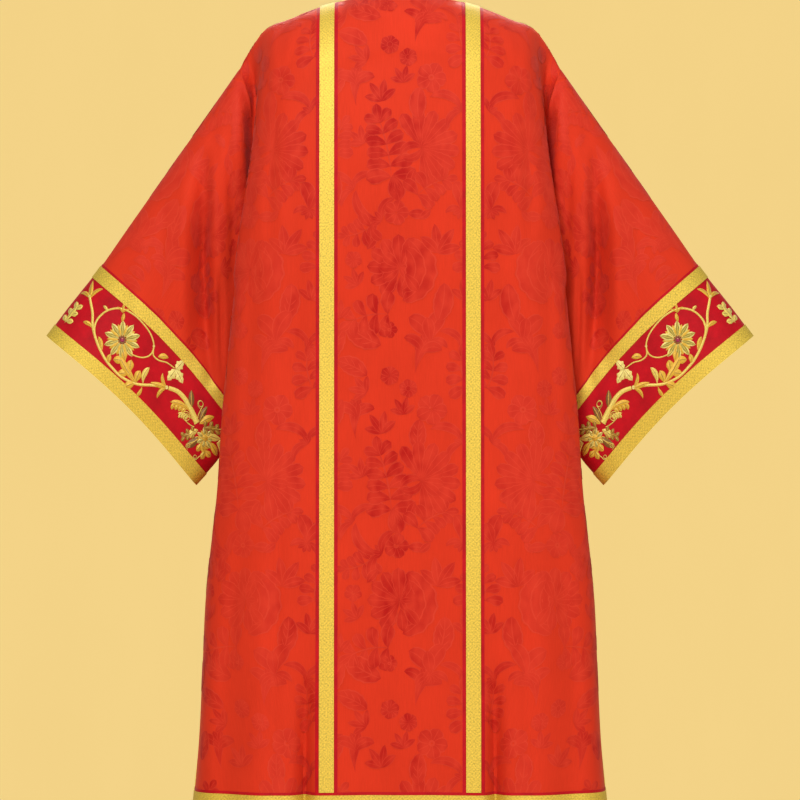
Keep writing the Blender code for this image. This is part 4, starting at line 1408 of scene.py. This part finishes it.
def woven_gold(colour, lengthwise, name):
    """Gold galloon: metal threads in small lozenges, a speckle of mottled thread with painted
    glints in its colour, and fine ribs.
    """
    finish, tree, shader, place = start_finish(name)
    one = threads(tree, sized(tree, place, 0.0042, 0.0042, math.pi / 4), "X")
    two = threads(tree, sized(tree, place, 0.0042, 0.0042, -math.pi / 4), "X")
    lozenge = math_of(tree, "MULTIPLY", one, two)
    fine = threads(tree, sized(tree, place, 0.0008, 0.0008), "Y" if lengthwise else "X")
    # The speckle's lighter spots are painted glints of the metal threads; the rest is the threads'
    # mottled tone
    grain = speckle(tree, sized(tree, place, 0.0026, 0.0026), 4.0, 0.75)
    shade = weighed(tree, (lozenge, 0.10), (grain, 1.0))
    base = ramp(tree, shade, ((0.36, shaded(colour, 0.62)), (0.52, colour),
                              (0.70, shaded(colour, 1.25))))
    height = weighed(tree, (lozenge, 0.15), (grain, 0.7), (fine, 0.3))
    bumped(tree, shader, height, 0.0003, 0.5)
    surfaced(tree, shader, base, Metallic=0.35, Roughness=0.55)
    return finish


def embroidery_silk(stops, thread):
    """Satin stitch in gold, pale yellow, old gold and a jewel's dark red, by tone."""
    finish, tree, shader, place = start_finish("embroidery")
    tone = tree.nodes.new("ShaderNodeAttribute")
    tone.attribute_name = "tone"
    base = ramp(tree, tone.outputs["Fac"], stops)
    fleck = speckle(tree, sized(tree, place, thread * 3, thread * 3), 2.0, 0.6)
    light = ramp(tree, fleck, ((0.30, (0.72, 0.72, 0.72)), (0.70, (1.0, 1.0, 1.0))))
    base = mixed(tree, 1.0, base, light, "MULTIPLY")
    stitches = threads(tree, sized(tree, place, thread * 2, thread * 2, 0.6), "X")
    bumped(tree, shader, stitches, thread * 0.4, 0.6)
    surfaced(tree, shader, base, Metallic=0.15, Roughness=0.40, Sheen_Weight=0.2)
    return finish


# The cloths, worked out once when the script starts
BACK = panel_cloth(-1)
FRONT = panel_cloth(1)
RIGHT = sleeve_cloth(whole_panel(-1), whole_panel(1))
TRIM_BASE = CLOTH / 2 + LAY_GAP
TRIM_OVER = TRIM_BASE + GROUND + LAY_GAP
PANELS = (("back", BACK), ("front", FRONT))
HANDS = (("right", 1), ("left", -1))


def both_hands(made):
    """A right piece's arrays and their mirror image, by hand."""
    return (("right", made), ("left", other_side(made)))


def trim(name, node, cloth, level, finish, rows, columns=None):
    """A ribbon or galloon on a part of a cloth."""
    low, thick = level
    made = wall_of(cloth, low, low + thick, rows, columns)
    piece_of(name, made, finish, [node])


class DalmaticSettings(bpy.types.PropertyGroup):
    """What a user would change: colours, threads and relief."""

    damask: bpy.props.FloatVectorProperty(
        name="Damask", description="Colour of the satin ground", subtype="COLOR",
        default=(0.63, 0.036, 0.014), min=0.0, max=1.0)
    figure: bpy.props.FloatVectorProperty(
        name="Figure", description="Colour of the woven figure", subtype="COLOR",
        default=(0.42, 0.005, 0.002), min=0.0, max=1.0)
    outline: bpy.props.FloatVectorProperty(
        name="Outline", description="Colour of the figure's outlines and ribs", subtype="COLOR",
        default=(0.66, 0.050, 0.022), min=0.0, max=1.0)
    crimson: bpy.props.FloatVectorProperty(
        name="Crimson", description="Colour of the ribbon under the gold", subtype="COLOR",
        default=(0.46, 0.003, 0.010), min=0.0, max=1.0)
    gold: bpy.props.FloatVectorProperty(
        name="Gold", description="Colour of the woven galloons", subtype="COLOR",
        default=(0.71, 0.50, 0.058), min=0.0, max=1.0)
    silk: bpy.props.FloatVectorProperty(
        name="Gold silk", description="Main colour of the embroidery", subtype="COLOR",
        default=(0.80, 0.47, 0.03), min=0.0, max=1.0)
    thread: bpy.props.FloatProperty(
        name="Thread", description="Spacing of the damask's threads",
        default=0.0007, min=0.0002, max=0.003, unit="LENGTH")
    relief: bpy.props.FloatProperty(
        name="Relief", description="How high the embroidery stands",
        default=0.0011, min=0.0002, max=0.003, unit="LENGTH")


def clavus_columns(cloth, hand):
    """The grid's columns at the edges of a clavus and its ground, on one side of the middle."""
    middle = len(cloth.columns) // 2
    step = int(np.sign(cloth.points[-1, cloth.columns[middle + 1], 0])) * hand
    edges = sorted(cloth.columns[middle + step * k] for k in range(CENTRE_STEPS, CENTRE_STEPS + 4))
    return edges


class DALMATIC_OT_panels(bpy.types.Operator):
    """Makes the back and front panels of damask"""

    bl_idname = "dalmatic.panels"
    bl_label = "Panels"

    def execute(self, context):
        look = context.scene.dalmatic
        finish = damask_ground(tuple(look.damask), look.thread)
        for name, cloth in PANELS:
            made = wall_of(cloth, -CLOTH / 2, CLOTH / 2)
            piece_of(f"{name}_panel_cloth", made, finish, [f"{name}_panel"])
        return {"FINISHED"}


class DALMATIC_OT_sleeves(bpy.types.Operator):
    """Makes the two sleeves of damask"""

    bl_idname = "dalmatic.sleeves"
    bl_label = "Sleeves"

    def execute(self, context):
        look = context.scene.dalmatic
        finish = damask_ground(tuple(look.damask), look.thread)
        made = wall_of(RIGHT, -CLOTH / 2, CLOTH / 2)
        for hand, arrays in both_hands(made):
            piece = piece_of(f"sleeve_{hand}_cloth", arrays, finish, [f"sleeve_{hand}"])
        return {"FINISHED"}


class DALMATIC_OT_clavi(bpy.types.Operator):
    """Makes the long galloons of the back and front on their crimson grounds"""

    bl_idname = "dalmatic.clavi"
    bl_label = "Clavi"

    def execute(self, context):
        look = context.scene.dalmatic
        crimson = crimson_ground(tuple(look.crimson))
        gold = woven_gold(tuple(look.gold), True, "gold clavus")
        for name, cloth in PANELS:
            rows = (0, cloth.rows[-3])
            for hand, side in HANDS:
                edges = clavus_columns(cloth, side)
                end = f"{name}_{hand}"
                trim(f"clavus_ribbon_{end}", f"clavus_ground_{end}", cloth, (TRIM_BASE, GROUND),
                     crimson, rows, (edges[0], edges[3]))
                trim(f"clavus_gold_{end}", f"clavus_{end}", cloth, (TRIM_OVER, GALLOON),
                     gold, rows, (edges[1], edges[2]))
        return {"FINISHED"}


class DALMATIC_OT_hems(bpy.types.Operator):
    """Makes the hem's galloons on their crimson grounds, and the vents' galloons"""

    bl_idname = "dalmatic.hems"
    bl_label = "Hems and vents"

    def execute(self, context):
        look = context.scene.dalmatic
        crimson = crimson_ground(tuple(look.crimson), "crimson hem ground")
        gold = woven_gold(tuple(look.gold), False, "gold hem")
        edging = woven_gold(tuple(look.gold), True, "gold vent")
        for name, cloth in PANELS:
            marks = cloth.rows
            trim(f"hem_ribbon_{name}", f"hem_ground_{name}", cloth, (TRIM_BASE, GROUND),
                 crimson, (marks[-3], marks[-1]))
            trim(f"hem_gold_{name}", f"hem_galloon_{name}", cloth, (TRIM_OVER, GALLOON),
                 gold, (marks[-2], marks[-1]))
            for hand, side in HANDS:
                if cloth.points[-1, -1, 0] * side > 0:
                    columns = (cloth.columns[-2], cloth.columns[-1])
                else:
                    columns = (cloth.columns[0], cloth.columns[1])
                trim(f"vent_gold_{name}_{hand}", f"vent_galloon_{name}_{hand}", cloth,
                     (TRIM_BASE, GALLOON), edging, (marks[-3 - VENT_ROWS], marks[-3]), columns)
        return {"FINISHED"}


class DALMATIC_OT_cuffs(bpy.types.Operator):
    """Makes the cuffs' crimson bands and the galloons on their edges"""

    bl_idname = "dalmatic.cuffs"
    bl_label = "Cuffs"

    def execute(self, context):
        look = context.scene.dalmatic
        crimson = crimson_ground(tuple(look.crimson), "crimson cuff")
        gold = woven_gold(tuple(look.gold), False, "gold cuff")
        first = 1 + len(SLEEVE_ROWS)
        marks = RIGHT.rows
        parts = (
            ("band", "ribbon", first, -1, TRIM_BASE, GROUND, crimson),
            ("galloon_upper", "gold_upper", first + 1, first + 2, TRIM_OVER, GALLOON, gold),
            ("galloon_edge", "gold_edge", -2, -1, TRIM_OVER, GALLOON, gold),
        )
        for node, name, top, end, low, thick, finish in parts:
            rows = (marks[top], marks[end])
            made = wall_of(RIGHT, low, low + thick, rows)
            for hand, arrays in both_hands(made):
                piece = piece_of(f"cuff_{name}_{hand}", arrays, finish, [f"cuff_{node}_{hand}"])
        return {"FINISHED"}


class DALMATIC_OT_figure(bpy.types.Operator):
    """Lays the damask's woven figure on the panels and sleeves"""

    bl_idname = "dalmatic.figure"
    bl_label = "Damask figure"

    def execute(self, context):
        look = context.scene.dalmatic
        colours = (tuple(look.damask), tuple(look.figure), tuple(look.outline))
        finish = damask_figure(*colours, look.thread, FIGURE_PAINTED_SHEEN)
        for name, cloth in PANELS:
            strokes = damask_strokes(PANEL_COLUMNS, 0.0, PANEL_LENGTH, beside_clavi)
            made = laid(flat_rows(cloth), strokes, CLOTH / 2 + FIGURE_LIFT, FIGURE_LAYER, 0.0)
            piece_of(f"{name}_panel_figure", made, finish)
        strokes = damask_strokes(SLEEVE_COLUMNS, CUFF_GROUND, SLEEVE_LENGTH, in_column)
        made = laid(flat_rows(RIGHT), strokes, CLOTH / 2 + FIGURE_LIFT, FIGURE_LAYER, 0.0)
        finish = damask_figure(*colours, look.thread, SLEEVE_PAINTED_SHEEN)
        for hand, arrays in both_hands(made):
            piece_of(f"sleeve_{hand}_figure", arrays, finish)
        return {"FINISHED"}


class DALMATIC_OT_embroidery(bpy.types.Operator):
    """Embroiders the cuffs with a flowering vine in gold"""

    bl_idname = "dalmatic.embroidery"
    bl_label = "Embroidery"

    def execute(self, context):
        look = context.scene.dalmatic
        finish = embroidery_silk(((0.00, tuple(look.silk)),) + SILKS, THREAD)
        lift = TRIM_BASE + GROUND
        made = laid(flat_rows(RIGHT), embroidery_strokes(), lift, THREAD_LAYER, look.relief)
        for hand, arrays in both_hands(made):
            piece_of(f"cuff_embroidery_{hand}", arrays, finish)
        return {"FINISHED"}


class DALMATIC_OT_stage(bpy.types.Operator):
    """Makes the pale floor and backdrop, the soft lights and the camera"""

    bl_idname = "dalmatic.stage"
    bl_label = "Stage"

    def execute(self, context):
        bpy.ops.object.select_all(action="DESELECT")
        for name, size, place, tilt, glow in STAGE_PLANES:
            bpy.ops.mesh.primitive_plane_add(size=size, location=place, rotation=(tilt, 0, 0))
            plane = context.object
            plane.name = name
            bpy.ops.object.transform_apply(location=True, rotation=True, scale=True)
            plane.data.materials.append(pale_finish(name, glow))
        for name, place, aim, size, power, colour in LIGHTS:
            bpy.ops.object.light_add(type="AREA", location=place)
            light = context.object
            light.name = name
            light.data.size = size
            light.data.energy = power
            light.data.color = colour
            away = Vector(place) - Vector(aim)
            light.rotation_euler = away.to_track_quat("Z", "Y").to_euler()
        world = bpy.data.worlds.new("soft room")
        world.use_nodes = True
        world.node_tree.nodes["Background"].inputs["Color"].default_value = (1.0, 0.97, 0.92, 1.0)
        world.node_tree.nodes["Background"].inputs["Strength"].default_value = ROOM_LIGHT
        context.scene.world = world
        context.scene.view_settings.view_transform = "Standard"
        bpy.ops.object.camera_add(location=CAMERA_PLACE, rotation=(math.pi / 2, 0, 0))
        camera = context.object
        camera.name = "camera"
        camera.data.sensor_width = 36.0
        camera.data.lens = 36.0 * -CAMERA_PLACE[1] / PICTURE_WIDE
        context.scene.camera = camera
        return {"FINISHED"}


class DALMATIC_PT_panel(bpy.types.Panel):
    """Lists the dalmatic's pieces and settings"""

    bl_idname = "DALMATIC_PT_panel"
    bl_label = "Dalmatic"
    bl_space_type = "VIEW_3D"
    bl_region_type = "UI"
    bl_category = "Dalmatic"

    def draw(self, context):
        look = context.scene.dalmatic
        for name in ("damask", "figure", "outline", "crimson", "gold", "silk", "thread", "relief"):
            self.layout.prop(look, name)
        for step in STEPS:
            self.layout.operator(step.bl_idname)


STEPS = (DALMATIC_OT_panels, DALMATIC_OT_sleeves, DALMATIC_OT_clavi, DALMATIC_OT_hems,
         DALMATIC_OT_cuffs, DALMATIC_OT_figure, DALMATIC_OT_embroidery, DALMATIC_OT_stage)
CLASSES = (DalmaticSettings,) + STEPS + (DALMATIC_PT_panel,)


def pale_finish(name, glow):
    """A matt pale cream, with the faintest grain, lit from behind for a backdrop."""
    finish = bpy.data.materials.new(name)
    finish.use_nodes = True
    tree = finish.node_tree
    shader = tree.nodes["Principled BSDF"]
    place = tree.nodes.new("ShaderNodeTexCoord").outputs["Object"]
    grain = speckle(tree, sized(tree, place, 0.4, 0.4), 4.0, 0.6)
    base = ramp(tree, grain, ((0.3, shaded(FLOOR_COLOUR, 0.97)), (0.7, shaded(FLOOR_COLOUR, 1.02))))
    surfaced(tree, shader, base, Roughness=0.9, Specular_IOR_Level=0.1,
             Emission_Color=(*BACKDROP_GLOW, 1.0), Emission_Strength=glow)
    return finish


def register():
    """Adds the settings, operators and panel."""
    for one in CLASSES:
        bpy.utils.register_class(one)
    bpy.types.Scene.dalmatic = bpy.props.PointerProperty(type=DalmaticSettings)


def unregister():
    """Takes the settings, operators and panel away."""
    del bpy.types.Scene.dalmatic
    for one in reversed(CLASSES):
        bpy.utils.unregister_class(one)


def main():
    """Makes every piece and the stage."""
    register()
    for step in STEPS:
        group, name = step.bl_idname.split(".")
        getattr(getattr(bpy.ops, group), name)()


if __name__ == "__main__":
    main()
